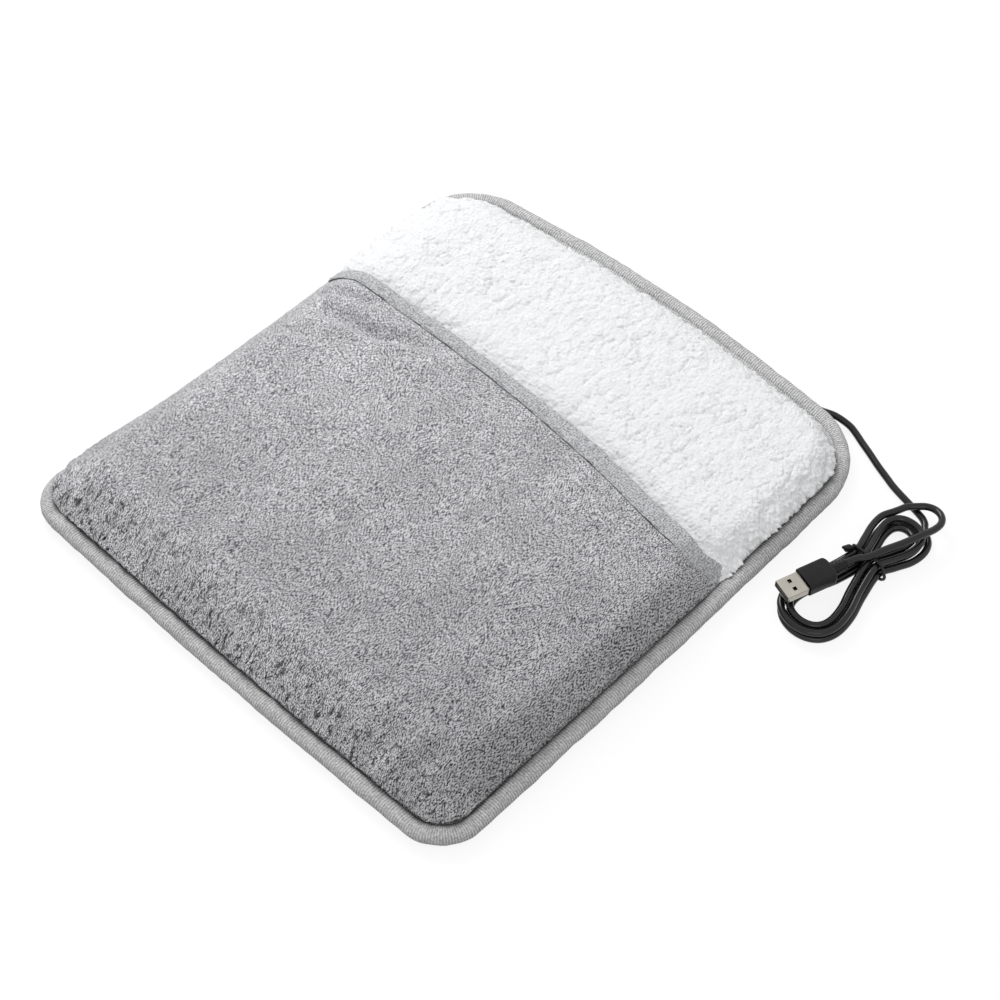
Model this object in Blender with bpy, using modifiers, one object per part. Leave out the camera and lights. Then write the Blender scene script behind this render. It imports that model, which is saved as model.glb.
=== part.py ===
"""Electric foot warmer: a flat padded mat with a fleece foot pocket, heated through a USB lead.

Metres, +Z up. The mat lies on Z = 0 with its centre over the origin. The closed toe end is at -Y,
the open end at +Y, and the lead leaves the seam near the corner at +X, +Y.
"""
import math

import bmesh
import bpy
from mathutils import Vector
from mathutils.geometry import convex_hull_2d

# Space that touching pieces keep between them
GAP = 0.0003

# Outline of the mat, bowed between its corners: outwards, but inwards on the side at -X
MAT_WIDTH = 0.3000
MAT_DEPTH = 0.3206
TOE_CORNER_RADIUS = 0.0252
BACK_CORNER_RADIUS = 0.0385
TOE_BOW = 0.0025
RIGHT_BOW = 0.0013
LEFT_HOLLOW = 0.0038
SIDE_SHIFT = 0.0011
BACK_BOW = 0.0122
INNER_CORNER_RADIUS = 0.014
BOW_START_SHARE = 0.30
BOW_FULL_SHARE = 0.85

# Knit tape folded round the edge
BINDING_WIDTH = 0.0090
BINDING_HEIGHT = 0.0094
BINDING_TAPE = 0.0013
BINDING_BEND = 0.0045
HEM_DEPTH = 0.0045

# Fabric and wadding thicknesses
COVER_THICKNESS = 0.0009
HEM_THICKNESS = 0.0008
BASE_WADDING_THICKNESS = 0.0028
CARRIER_THICKNESS = 0.0004
SOLE_FLEECE_THICKNESS = 0.0050
SOLE_HEM_THICKNESS = 0.0010
POCKET_FLEECE_THICKNESS = 0.0022
LINING_THICKNESS = 0.0015
MOUTH_HEM_THICKNESS = 0.0011
LEAST_WADDING = 0.0005

# Crown: how high the sole and the pocket stand, and how far in from the seam they get there
SOLE_HEIGHT_IN_POCKET = 0.0160
SOLE_HEIGHT_BEHIND = 0.0190
SHOULDER_RUN = 0.027
SHOULDER_POWER = 2.1
MOUTH_HEIGHT = 0.0278
MOUTH_FALL = 0.0012
POCKET_PUFF = 0.0048
LINING_DROP = 0.0030
SOLE_STEP_RUN = 0.014

# Mouth of the pocket: its line runs slightly askew and bows towards the open end
MOUTH_LINE_Y = 0.0480
MOUTH_SKEW = 0.0140
MOUTH_BOW = 0.0020
TAPE_WIDTH = 0.0120
TAPE_THICKNESS = 0.0011
TAPE_END_INSET = 0.0120

# Heater
CARRIER_SIDE_MARGIN = 0.038
CARRIER_TOE_MARGIN = 0.0240
CARRIER_BACK_MARGIN = 0.0605
CARRIER_CORNER_RADIUS = 0.012
WIRE_DIAMETER = 0.0018
WIRE_RUNS = 12
WIRE_SIDE_MARGIN = 0.010
RETURN_MARGIN = 0.0075
LEAD_WIRE_DIAMETER = 0.0013
SPLICE_DIAMETER = 0.0030
SPLICE_LENGTH = 0.012
SPLICE_SPREAD = 0.0031
CUTOUT_LENGTH = 0.014
CUTOUT_WIDTH = 0.0064
CUTOUT_HEIGHT = 0.0030
CUTOUT_FROM_SIDE = 0.0380
CUTOUT_BEHIND_CARRIER = 0.0180
CUTOUT_ROUNDING = 0.0008

# Lead: a round black cord to a USB-A plug
CORD_DIAMETER = 0.0038
FLOOR_HEIGHT = CORD_DIAMETER / 2 + GAP
CORD_CLEARANCE = 0.0003
EXIT_HEADING = math.radians(17.0)
TAIL_PAST_SHOULDER = 0.038
ANCHOR_FROM_TAIL_END = 0.010
ANCHOR_LENGTH = 0.010
ANCHOR_WALL = 0.0008
ANCHOR_ROUNDING = 0.0010
CORE_SPACING = 0.0016
LEAD_RUN = 0.0078
RECESS_MARGIN = 0.0040

# Free stretch of the cord: offsets from its exit, and heights over the floor's surface
CORD_ROUTE = (
    (0.0138, 0.0026, 0.0032),
    (0.0195, 0.0012, 0.0025),
    (0.0252, -0.0012, FLOOR_HEIGHT),
    (0.0328, -0.0044, FLOOR_HEIGHT),
    (0.0408, -0.0080, FLOOR_HEIGHT),
    (0.0489, -0.0112, FLOOR_HEIGHT),
    (0.0568, -0.0141, FLOOR_HEIGHT),
)

# Last stretch: offsets from the hank's middle, and shares of its height over the waist
LEAD_ROUTE = (
    (-0.0016, 0.0462, 0.51),
    (0.0022, 0.0513, 0.53),
    (0.0074, 0.0530, 0.58),
    (0.0119, 0.0500, 0.65),
    (0.0138, 0.0434, 0.71),
    (0.0133, 0.0365, 0.79),
    (0.0114, 0.0290, 0.90),
    (0.0083, 0.0186, 0.98),
    (0.0047, 0.0087, 1.0),
    (0.0016, -0.0012, 1.0),
)

# Hank: the cord's spare length in loops, drawn in at the waist by a twisted tie
HANK_BESIDE_MAT = 0.0368
HANK_FROM_BACK = 0.0592
HANK_TILT = math.radians(-4.0)
HANK_LOOPS = 4
POINTS_PER_LOOP = 24
LOOP_SPACING = 0.0006
CLIMB_DODGE_SHARE = 1.7
UPPER_LENGTH = 0.0386
LOWER_LENGTH = 0.0550
UPPER_SWELL = 0.0172
LOWER_SWELL = 0.0252
WAIST_SOFTNESS = 0.22
LOBE_BLEND = 0.35
WAIST_RUN = 0.016
TIE_DIAMETER = 0.0016
TIE_TWIST_LENGTH = 0.0052
TIE_TWIST_TURNS = 1.0
TIE_TWIST_GAP = 0.0004

# Plug
SHELL_WIDTH = 0.0120
SHELL_HEIGHT = 0.0045
SHELL_LENGTH = 0.0120
SHELL_WALL = 0.0003
SHELL_ROUNDING = 0.0006
WINDOW_WIDTH = 0.0022
WINDOW_LENGTH = 0.0020
WINDOW_SPACING = 0.0050
WINDOW_FROM_TIP = 0.0058
TONGUE_THICKNESS = 0.0018
TONGUE_SETBACK = 0.0005
CONTACT_WIDTH = 0.0010
CONTACT_THICKNESS = 0.0003
CONTACT_LENGTH = 0.0075
CONTACT_SPACING = 0.0021
CONTACT_SETBACK = 0.0012
GRIP_WIDTH = 0.0138
GRIP_HEIGHT = 0.0076
GRIP_LENGTH = 0.0165
GRIP_ROUNDING = 0.0016
SHOULDER_LENGTH = 0.0024
NECK_WIDTH = 0.0074
NECK_HEIGHT = 0.0062
NECK_LENGTH = 0.0080
NECK_END_WALL = 0.0009
PLUG_HEADING = math.radians(19.0)
PLUG_TIP_FROM_HANK = (-0.0172, -0.0466)

# Grid of the padded layers: where its lines lie between the seam and the middle
RING_SHARES = (0.0, 0.019, 0.044, 0.076, 0.119, 0.183, 0.290, 0.446, 0.630, 0.815, 1.0)
TOE_SHARES = (0.0, 0.019, 0.044, 0.076, 0.119, 0.183, 0.285, 0.400, 0.520, 0.640, 0.760)
TOE_GAP_SHARE = 0.30
BACK_SHARES = (0.0, 0.019, 0.044, 0.076, 0.119, 0.183, 0.260, 0.340, 0.420, 0.490, 0.560)
FINE_RINGS = tuple(range(len(RING_SHARES) + 1))
POCKET_WADDING_RINGS = FINE_RINGS[4:]
SOLE_WADDING_RINGS = (6, 7, 9, 11)
FLAT_RINGS = (0, 1, 2, 3, 5, 8, 11)

# Worked out from the sizes above
HALF_WIDTH = MAT_WIDTH / 2
HALF_DEPTH = MAT_DEPTH / 2
CENTRE_SHIFT = (BACK_BOW - TOE_BOW) / 2
SEAM_INSET = BINDING_WIDTH + GAP
CORD_RADIUS = CORD_DIAMETER / 2
WIRE_RADIUS = WIRE_DIAMETER / 2
TIE_RADIUS = TIE_DIAMETER / 2

# Hems in the folded binding, from the bottom up
COVER_HEM_BOTTOM = BINDING_TAPE + GAP
COVER_HEM_TOP = COVER_HEM_BOTTOM + HEM_THICKNESS
POCKET_HEM_TOP = BINDING_HEIGHT - BINDING_TAPE - GAP
POCKET_HEM_BOTTOM = POCKET_HEM_TOP - HEM_THICKNESS
LINING_HEM_TOP = POCKET_HEM_BOTTOM - GAP
LINING_HEM_BOTTOM = LINING_HEM_TOP - HEM_THICKNESS
SOLE_HEM_TOP = LINING_HEM_BOTTOM - GAP
SOLE_HEM_BOTTOM = SOLE_HEM_TOP - SOLE_HEM_THICKNESS
MOUTH_HEM_MIDDLE = (LINING_HEM_TOP + POCKET_HEM_BOTTOM) / 2

# The mouth's tape, which holds the outer fleece and the lining between its legs
TAPE_HALF_HEIGHT = MOUTH_HEM_THICKNESS + 1.5 * GAP + TAPE_THICKNESS

# Places that follow the mat's size
TAIL_LENGTH = SHOULDER_RUN + TAIL_PAST_SHOULDER
CARRIER_WIDTH = MAT_WIDTH - 2 * CARRIER_SIDE_MARGIN
CARRIER_DEPTH = MAT_DEPTH - CARRIER_TOE_MARGIN - CARRIER_BACK_MARGIN
CARRIER_CENTRE_Y = (CARRIER_TOE_MARGIN - CARRIER_BACK_MARGIN) / 2 - CENTRE_SHIFT
WIRE_PITCH = (CARRIER_DEPTH - 2 * WIRE_SIDE_MARGIN) / (WIRE_RUNS - 1)
CUTOUT_X = CARRIER_WIDTH / 2 - CUTOUT_FROM_SIDE
CUTOUT_Y = CARRIER_CENTRE_Y + CARRIER_DEPTH / 2 + CUTOUT_BEHIND_CARRIER
EXIT_X = HALF_WIDTH - BACK_CORNER_RADIUS
HANK_X = HALF_WIDTH - SIDE_SHIFT + HANK_BESIDE_MAT
HANK_Y = HALF_DEPTH - CENTRE_SHIFT - HANK_FROM_BACK

# Flat layers in the middle of the mat, from the floor up
WADDING_BOTTOM = COVER_THICKNESS + GAP
WADDING_TOP = WADDING_BOTTOM + BASE_WADDING_THICKNESS
CARRIER_BOTTOM = WADDING_TOP + GAP
WIRE_HEIGHT = CARRIER_BOTTOM + CARRIER_THICKNESS + GAP + WIRE_RADIUS
SOLE_WADDING_BOTTOM = WIRE_HEIGHT + WIRE_RADIUS + GAP

# Cord
EXIT_HOLE_RADIUS = CORD_RADIUS + CORD_CLEARANCE
EXIT_HEIGHT = COVER_HEM_TOP + GAP / 2 + EXIT_HOLE_RADIUS
LOOP_STEP = CORD_DIAMETER + LOOP_SPACING
WAIST_HALF_WIDTH = 1.75 * LOOP_STEP
WAIST_LIFT = TIE_DIAMETER + 2.5 * GAP
TIE_BAND = 2.5 * TIE_DIAMETER
LEAD_HEIGHT = FLOOR_HEIGHT + WAIST_LIFT + LOOP_STEP + CORD_DIAMETER + LOOP_SPACING / 2

WHITE_SHERPA = (0.86, 0.87, 0.89)
GREY_FLEECE = (0.40, 0.40, 0.42)
GREY_KNIT = (0.60, 0.61, 0.60)
LINING_WHITE = (0.80, 0.81, 0.83)
WADDING_WHITE = (0.85, 0.85, 0.84)
CARRIER_WHITE = (0.75, 0.76, 0.74)
BLACK_PLASTIC = (0.009, 0.009, 0.010)
RED_SILICONE = (0.45, 0.03, 0.02)
NICKEL = (0.47, 0.445, 0.395)
GOLD = (0.62, 0.43, 0.16)
TONGUE_BLACK = (0.030, 0.029, 0.028)
SLEEVE_CLEAR = (0.10, 0.12, 0.30)


def clear_scene():
    for item in list(bpy.data.objects):
        bpy.data.objects.remove(item, do_unlink=True)


def new_collection(name):
    collection = bpy.data.collections.new(name)
    bpy.context.scene.collection.children.link(collection)
    return collection


def make_material(name, colour, roughness, metallic=0.0):
    material = bpy.data.materials.new(name)
    material.use_nodes = True
    shader = material.node_tree.nodes["Principled BSDF"]
    shader.inputs["Base Color"].default_value = (*colour, 1.0)
    shader.inputs["Roughness"].default_value = roughness
    shader.inputs["Metallic"].default_value = metallic
    return material


def add_part(name, data, material, smooth_angle=math.radians(40)):
    data.materials.append(material)
    part = bpy.data.objects.new(name, data)
    PARTS.objects.link(part)
    if isinstance(data, bpy.types.Mesh):
        data.shade_smooth()
        data.set_sharp_from_angle(angle=smooth_angle)
    return part


def mesh_from(name, bm):
    bmesh.ops.recalc_face_normals(bm, faces=bm.faces)
    mesh = bpy.data.meshes.new(name)
    bm.to_mesh(mesh)
    bm.free()
    return mesh


def cut(part, cutter):
    """Takes the cutter's solid out of the part."""
    boolean = part.modifiers.new("cut", 'BOOLEAN')
    boolean.operation = 'DIFFERENCE'
    boolean.object = cutter


def make_cutter(name, mesh):
    cutter = bpy.data.objects.new(name, mesh)
    cutter.hide_render = True
    cutter.display_type = 'WIRE'
    CUTTERS.objects.link(cutter)
    return cutter


def smooth_step(value):
    value = min(max(value, 0.0), 1.0)
    return value * value * (3 - 2 * value)


def bowed(x, y):
    """Bows a point with the edge that it is near, and centres the bowed mat."""
    u, v = x / HALF_WIDTH, y / HALF_DEPTH
    span = BOW_FULL_SHARE - BOW_START_SHARE
    across = math.cos(min(abs(u), 1.0) * math.pi / 2) * smooth_step((abs(v) - BOW_START_SHARE) / span)
    along = math.cos(min(abs(v), 1.0) * math.pi / 2) * smooth_step((abs(u) - BOW_START_SHARE) / span)
    end_bow = BACK_BOW if y > 0 else -TOE_BOW
    side_bow = RIGHT_BOW if x > 0 else LEFT_HOLLOW
    return x + side_bow * along - SIDE_SHIFT, y + end_bow * across - CENTRE_SHIFT


def corner_point(half_x, end_y, radius, along_x, along_y):
    """Point on a rounded corner, from its distances along the two sides of the sharp corner."""
    radius = min(radius, half_x)
    if along_y >= radius:
        return half_x, end_y + along_y
    if along_x >= radius:
        return half_x - along_x, end_y
    angle = math.pi / 4 * (1 - (along_y - along_x) / radius)
    return half_x - radius * (1 - math.cos(angle)), end_y + radius * (1 - math.sin(angle))


def insets(shares, half):
    """Distances of the grid's rings from the outline: the hem's edge, the seam, and on inwards."""
    return [HEM_DEPTH] + [SEAM_INSET + share * (half - SEAM_INSET) for share in shares]


SIDE_INSETS = insets(RING_SHARES, HALF_WIDTH)
TOE_INSETS = insets(TOE_SHARES, HALF_WIDTH)
BACK_INSETS = insets(BACK_SHARES, HALF_WIDTH)


def half_plan(rings, corner_radius, row_insets, end_line, end_distances):
    """Lays a grid over one end of the mat, its rings following the side seams and the end's seam.

    The first rows follow the end's seam, the last ones lie at end_distances from end_line. The
    returned function gives a grid point's place before it is bowed, and its inset from the outline.
    """
    last = len(rings) - 1

    def place(column, row):
        side = min(column, 2 * last - column)
        ring = rings[min(side, row)]
        side_inset, row_inset = SIDE_INSETS[ring], row_insets[ring]
        half_x, end_y = HALF_WIDTH - side_inset, row_inset - HALF_DEPTH
        radius = max(corner_radius - side_inset, INNER_CORNER_RADIUS)
        if side <= row:
            along = row_insets[rings[min(row, last)]] - row_inset
            x, y = corner_point(half_x, end_y, radius, 0.0, along)
        else:
            x, y = corner_point(half_x, end_y, radius, SIDE_INSETS[rings[side]] - side_inset, 0.0)
        x = math.copysign(x, column - last) if column != last else 0.0
        if row > last:
            y = end_line(x) - end_distances[row - last - 1]
        return x, y, side_inset if side <= row else row_inset

    return place, 2 * last, last + len(end_distances)


def whole_plan(rings):
    """A grid over the whole mat: a toe part up to the mouth's line and a back part behind it."""
    toe_distances = (TOE_GAP_SHARE * HALF_DEPTH, TAPE_WIDTH, 0.0)
    toe, columns, toe_rows = half_plan(
        rings, TOE_CORNER_RADIUS, TOE_INSETS, mouth_y, toe_distances)
    back, _, back_rows = half_plan(
        rings, BACK_CORNER_RADIUS, BACK_INSETS, lambda x: -mouth_y(x), (SOLE_STEP_RUN,))
    rows = toe_rows + 1 + back_rows

    def place(column, row):
        if row <= toe_rows:
            return toe(column, row)
        x, y, inset = back(column, rows - row)
        return x, -y, inset

    return place, columns, rows


def padded_layer(name, plan, bottom, top, material):
    """A closed layer over a plan's grid, between two height functions of x, y and inset."""
    place, columns, rows = plan
    bm = bmesh.new()
    bmesh.ops.create_grid(bm, x_segments=columns, y_segments=rows, size=1.0)
    low = list(bm.verts)
    grid = {}
    for vert in low:
        grid[vert.co.to_tuple(4)] = place(
            round((vert.co.x + 1) / 2 * columns), round((vert.co.y + 1) / 2 * rows))
    lifted = bmesh.ops.extrude_face_region(bm, geom=list(bm.faces), use_keep_orig=True)
    high = [item for item in lifted["geom"] if isinstance(item, bmesh.types.BMVert)]
    for verts, height in ((low, bottom), (high, top)):
        for vert in verts:
            x, y, inset = grid[vert.co.to_tuple(4)]
            vert.co = (*bowed(x, y), height(x, y, inset))
    return add_part(name, mesh_from(name, bm), material)


def shoulder(inset):
    """Share of the crown's height at this distance in from the outline, 0 at the seam."""
    run = min(max(inset - SEAM_INSET, 0.0) / SHOULDER_RUN, 1.0)
    return 1 - (1 - run) ** SHOULDER_POWER


def crowned(hem, crown, inset):
    """Height of a layer: its hem's height at the seam and its crown's height inside the shoulder."""
    return hem + (crown - hem) * shoulder(inset)


def mouth_y(x):
    """The pocket's mouth, at the tape's fold."""
    share = x / HALF_WIDTH
    return MOUTH_LINE_Y - MOUTH_SKEW / 2 * share + MOUTH_BOW * (1 - share * share)


def mouth_height(x):
    """Height of the middle of the tape's fold, on the crown."""
    return MOUTH_HEIGHT - MOUTH_FALL * smooth_step(x / HALF_WIDTH)


def behind_mouth(x, y):
    """0 under the pocket, 1 on the open sole behind its mouth."""
    return smooth_step((y - mouth_y(x)) / SOLE_STEP_RUN)


def puff(x, y):
    """0 in the mouth's tape, 1 where the pocket stands at its full height."""
    run = (mouth_y(x) - y - TAPE_WIDTH - GAP) / SHOULDER_RUN
    return 1 - (1 - min(max(run, 0.0), 1.0)) ** SHOULDER_POWER


def base_cover_bottom(x, y, inset):
    return COVER_HEM_BOTTOM if inset <= SEAM_INSET + GAP else 0.0


def base_cover_top(x, y, inset):
    return COVER_HEM_TOP if inset <= SEAM_INSET + GAP else COVER_THICKNESS


def base_wadding_bottom(x, y, inset):
    return base_cover_top(x, y, inset) + GAP


def base_wadding_top(x, y, inset):
    return SOLE_HEM_BOTTOM - GAP if inset <= SEAM_INSET + GAP else WADDING_TOP


def sole_crown(x, y):
    behind = behind_mouth(x, y)
    return SOLE_HEIGHT_IN_POCKET + (SOLE_HEIGHT_BEHIND - SOLE_HEIGHT_IN_POCKET) * behind


def sole_top(x, y, inset):
    hem = SOLE_HEM_TOP + (POCKET_HEM_TOP - SOLE_HEM_TOP) * behind_mouth(x, y)
    return crowned(hem, sole_crown(x, y), inset)


def sole_bottom(x, y, inset):
    return crowned(SOLE_HEM_BOTTOM, sole_crown(x, y) - SOLE_FLEECE_THICKNESS, inset)


def sole_wadding_top(x, y, inset):
    return sole_bottom(x, y, inset) - GAP


def sole_wadding_bottom(x, y, inset):
    return SOLE_WADDING_BOTTOM


def pocket_top(x, y, inset):
    hem = GAP / 2 + MOUTH_HEM_THICKNESS
    crown = mouth_height(x) + hem + (POCKET_PUFF - hem) * puff(x, y)
    return crowned(POCKET_HEM_TOP, crown, inset)


def pocket_bottom(x, y, inset):
    thickness = MOUTH_HEM_THICKNESS + (POCKET_FLEECE_THICKNESS - MOUTH_HEM_THICKNESS) * puff(x, y)
    crown = mouth_height(x) + GAP / 2 + MOUTH_HEM_THICKNESS - thickness
    crown += (POCKET_PUFF - GAP / 2 - MOUTH_HEM_THICKNESS) * puff(x, y)
    return crowned(POCKET_HEM_BOTTOM, crown, inset)


def lining_crown(x, y):
    return mouth_height(x) - GAP / 2 - (LINING_DROP - LINING_THICKNESS) * puff(x, y)


def lining_top(x, y, inset):
    return crowned(LINING_HEM_TOP, lining_crown(x, y), inset)


def lining_bottom(x, y, inset):
    thickness = MOUTH_HEM_THICKNESS + (LINING_THICKNESS - MOUTH_HEM_THICKNESS) * puff(x, y)
    return crowned(LINING_HEM_BOTTOM, lining_crown(x, y) - thickness, inset)


def pocket_wadding_bottom(x, y, inset):
    return lining_top(x, y, inset) + GAP


def pocket_wadding_top(x, y, inset):
    return max(pocket_bottom(x, y, inset) - GAP, pocket_wadding_bottom(x, y, inset) + LEAST_WADDING)


def build_mat_layers():
    knit_plan = whole_plan(FLAT_RINGS)
    fine_plan = whole_plan(FINE_RINGS)
    inner_plan = whole_plan(SOLE_WADDING_RINGS)
    base_cover = padded_layer("base_cover", knit_plan, base_cover_bottom, base_cover_top, FLEECE)
    base_wadding = padded_layer("base_wadding", knit_plan, base_wadding_bottom, base_wadding_top, WADDING)
    sole_wadding = padded_layer("sole_wadding", inner_plan, sole_wadding_bottom, sole_wadding_top, WADDING)
    sole_fleece = padded_layer("sole_fleece", fine_plan, sole_bottom, sole_top, SHERPA)
    return base_cover, base_wadding, sole_wadding, sole_fleece


def build_pocket_layers():
    """Outer fleece, wadding and lining, which close on each other inside the mouth's tape."""
    hem_end = TAPE_HALF_HEIGHT
    tape_edge = TAPE_WIDTH + GAP
    rise = SHOULDER_RUN / 4
    rows = tuple(tape_edge + rise * step for step in (6, 4, 2.5, 1.2, 0.4))
    plan = half_plan(FINE_RINGS, TOE_CORNER_RADIUS, TOE_INSETS, mouth_y, rows + (tape_edge, hem_end))
    padded_layer("pocket_outer", plan, pocket_bottom, pocket_top, FLEECE)
    padded_layer("pocket_lining", plan, lining_bottom, lining_top, LINING)
    plan = half_plan(POCKET_WADDING_RINGS, TOE_CORNER_RADIUS, TOE_INSETS, mouth_y, rows)
    padded_layer("pocket_wadding", plan, pocket_wadding_bottom, pocket_wadding_top, WADDING)


def outline(inset, corner_steps=6, side_steps=(8, 10, 12, 10)):
    """The mat's outline as points, anticlockwise from the toe side's first corner.

    The sides follow each other as the toe's, the one at +X, the back's and the one at -X.
    """
    half_x, half_y = HALF_WIDTH - inset, HALF_DEPTH - inset
    toe, back = TOE_CORNER_RADIUS - inset, BACK_CORNER_RADIUS - inset
    sides = (
        (Vector((-half_x + toe, -half_y)), Vector((half_x - toe, -half_y)), toe),
        (Vector((half_x, -half_y + toe)), Vector((half_x, half_y - back)), back),
        (Vector((half_x - back, half_y)), Vector((-half_x + back, half_y)), back),
        (Vector((-half_x, half_y - back)), Vector((-half_x, -half_y + toe)), toe))
    points = []
    for side, (start, end, radius) in enumerate(sides):
        points += [start.lerp(end, step / side_steps[side]) for step in range(side_steps[side])]
        heading = side * math.pi / 2
        centre = end + radius * Vector((-math.sin(heading), math.cos(heading)))
        for step in range(corner_steps):
            angle = heading + (step / corner_steps - 1) * math.pi / 2
            points.append(centre + radius * Vector((math.cos(angle), math.sin(angle))))
    return [bowed(x, y) for x, y in points]


def bend_points(half_height, depth, bend_steps):
    """The outer half of a fold seen from its end: distance in from its edge, and level."""
    points = []
    for step in range(bend_steps + 1):
        angle = math.pi * (step / bend_steps - 0.5)
        points.append((depth * (1 - math.cos(angle)), half_height * math.sin(angle)))
    return points


def build_edge_binding():
    """Tape folded round the whole edge, its outer face thickened inwards."""
    profile = [(BINDING_WIDTH, -BINDING_HEIGHT / 2)]
    profile += bend_points(BINDING_HEIGHT / 2, BINDING_BEND, 6)
    profile.append((BINDING_WIDTH, BINDING_HEIGHT / 2))
    bm = bmesh.new()
    rows = []
    for inset, level in profile:
        height = level + BINDING_HEIGHT / 2
        rows.append([bm.verts.new((x, y, height)) for x, y in outline(inset)])
    for lower, upper in zip(rows, rows[1:]):
        for i in range(len(lower)):
            j = (i + 1) % len(lower)
            bm.faces.new((lower[i], lower[j], upper[j], upper[i]))
    mesh = bpy.data.meshes.new("edge_binding")
    bm.to_mesh(mesh)
    bm.free()
    part = add_part("edge_binding", mesh, KNIT)
    solid = part.modifiers.new("thickness", 'SOLIDIFY')
    solid.thickness = BINDING_TAPE
    solid.offset = -1.0
    solid.use_even_offset = True
    return part


def build_mouth_binding():
    """Tape folded over the pocket's mouth, which follows the crown from seam to seam."""
    outer = bend_points(TAPE_HALF_HEIGHT, TAPE_HALF_HEIGHT, 4)
    inner_half = TAPE_HALF_HEIGHT - TAPE_THICKNESS
    inner = [(inset + TAPE_THICKNESS, level) for inset, level in bend_points(inner_half, inner_half, 4)]
    section = [(TAPE_WIDTH, -TAPE_HALF_HEIGHT)] + outer + [(TAPE_WIDTH, TAPE_HALF_HEIGHT)]
    section += [(TAPE_WIDTH, inner_half)] + inner[::-1] + [(TAPE_WIDTH, -inner_half)]
    levels = [inset for inset in SIDE_INSETS if inset >= TAPE_END_INSET - GAP]
    places = [inset - HALF_WIDTH for inset in levels] + [HALF_WIDTH - inset for inset in levels[-2::-1]]
    rings = []
    for flat_x in places:
        middle = crowned(MOUTH_HEM_MIDDLE, mouth_height(flat_x), HALF_WIDTH - abs(flat_x))
        rings.append([(*bowed(flat_x, mouth_y(flat_x) - inset), middle + level)
                      for inset, level in section])
    return add_part("mouth_binding", loft("mouth_binding", rings), KNIT)


def add_tube(name, points, radius, material, resolution=2):
    """A round tube along straight steps between the points, closed at both ends."""
    data = bpy.data.curves.new(name, 'CURVE')
    data.dimensions = '3D'
    data.bevel_depth = radius
    data.bevel_resolution = resolution
    data.use_fill_caps = True
    spline = data.splines.new('POLY')
    spline.points.add(len(points) - 1)
    for target, point in zip(spline.points, points):
        target.co = (*point, 1.0)
    return add_part(name, data, material)


def smooth_route(route, spacing):
    """Points at about this spacing on a smooth curve through the route's own points."""
    route = [Vector(point) for point in route]
    before = route[0] + route[0] - route[1]
    after = route[-1] + route[-1] - route[-2]
    padded = [before] + route + [after]
    points = []
    for a, b, c, d in zip(padded, padded[1:], padded[2:], padded[3:]):
        steps = max(1, round((c - b).length / spacing))
        for step in range(steps):
            t = step / steps
            points.append(0.5 * (2 * b + (c - a) * t + (2 * a - 5 * b + 4 * c - d) * t ** 2
                                 + (3 * b - a - 3 * c + d) * t ** 3))
    points.append(route[-1])
    return points


def polyline_length(points):
    return sum((b - a).length for a, b in zip(points, points[1:]))


def exit_frame():
    """The cord's exit: its place on the outline, the way out, and the way across it."""
    place = Vector((*bowed(EXIT_X, HALF_DEPTH), EXIT_HEIGHT))
    out = Vector((math.cos(EXIT_HEADING), math.sin(EXIT_HEADING), 0.0))
    across = Vector((math.sin(EXIT_HEADING), -math.cos(EXIT_HEADING), 0.0))
    return place, out, across


def cylinder_between(name, start, end, radius, segments=16):
    bm = bmesh.new()
    length = (end - start).length
    bmesh.ops.create_cone(bm, cap_ends=True, segments=segments, radius1=radius, radius2=radius, depth=length)
    mesh = mesh_from(name, bm)
    turn = (end - start).to_track_quat('Z', 'Y')
    mesh.transform(turn.to_matrix().to_4x4())
    return mesh, (start + end) / 2


def rounded_box(name, size, rounding, segments=2):
    bm = bmesh.new()
    bmesh.ops.create_cube(bm, size=1.0)
    bmesh.ops.scale(bm, vec=size, verts=bm.verts)
    if rounding:
        bmesh.ops.bevel(bm, geom=bm.edges[:], offset=rounding, segments=segments,
                        affect='EDGES', profile=0.5, clamp_overlap=True)
    return mesh_from(name, bm)


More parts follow.
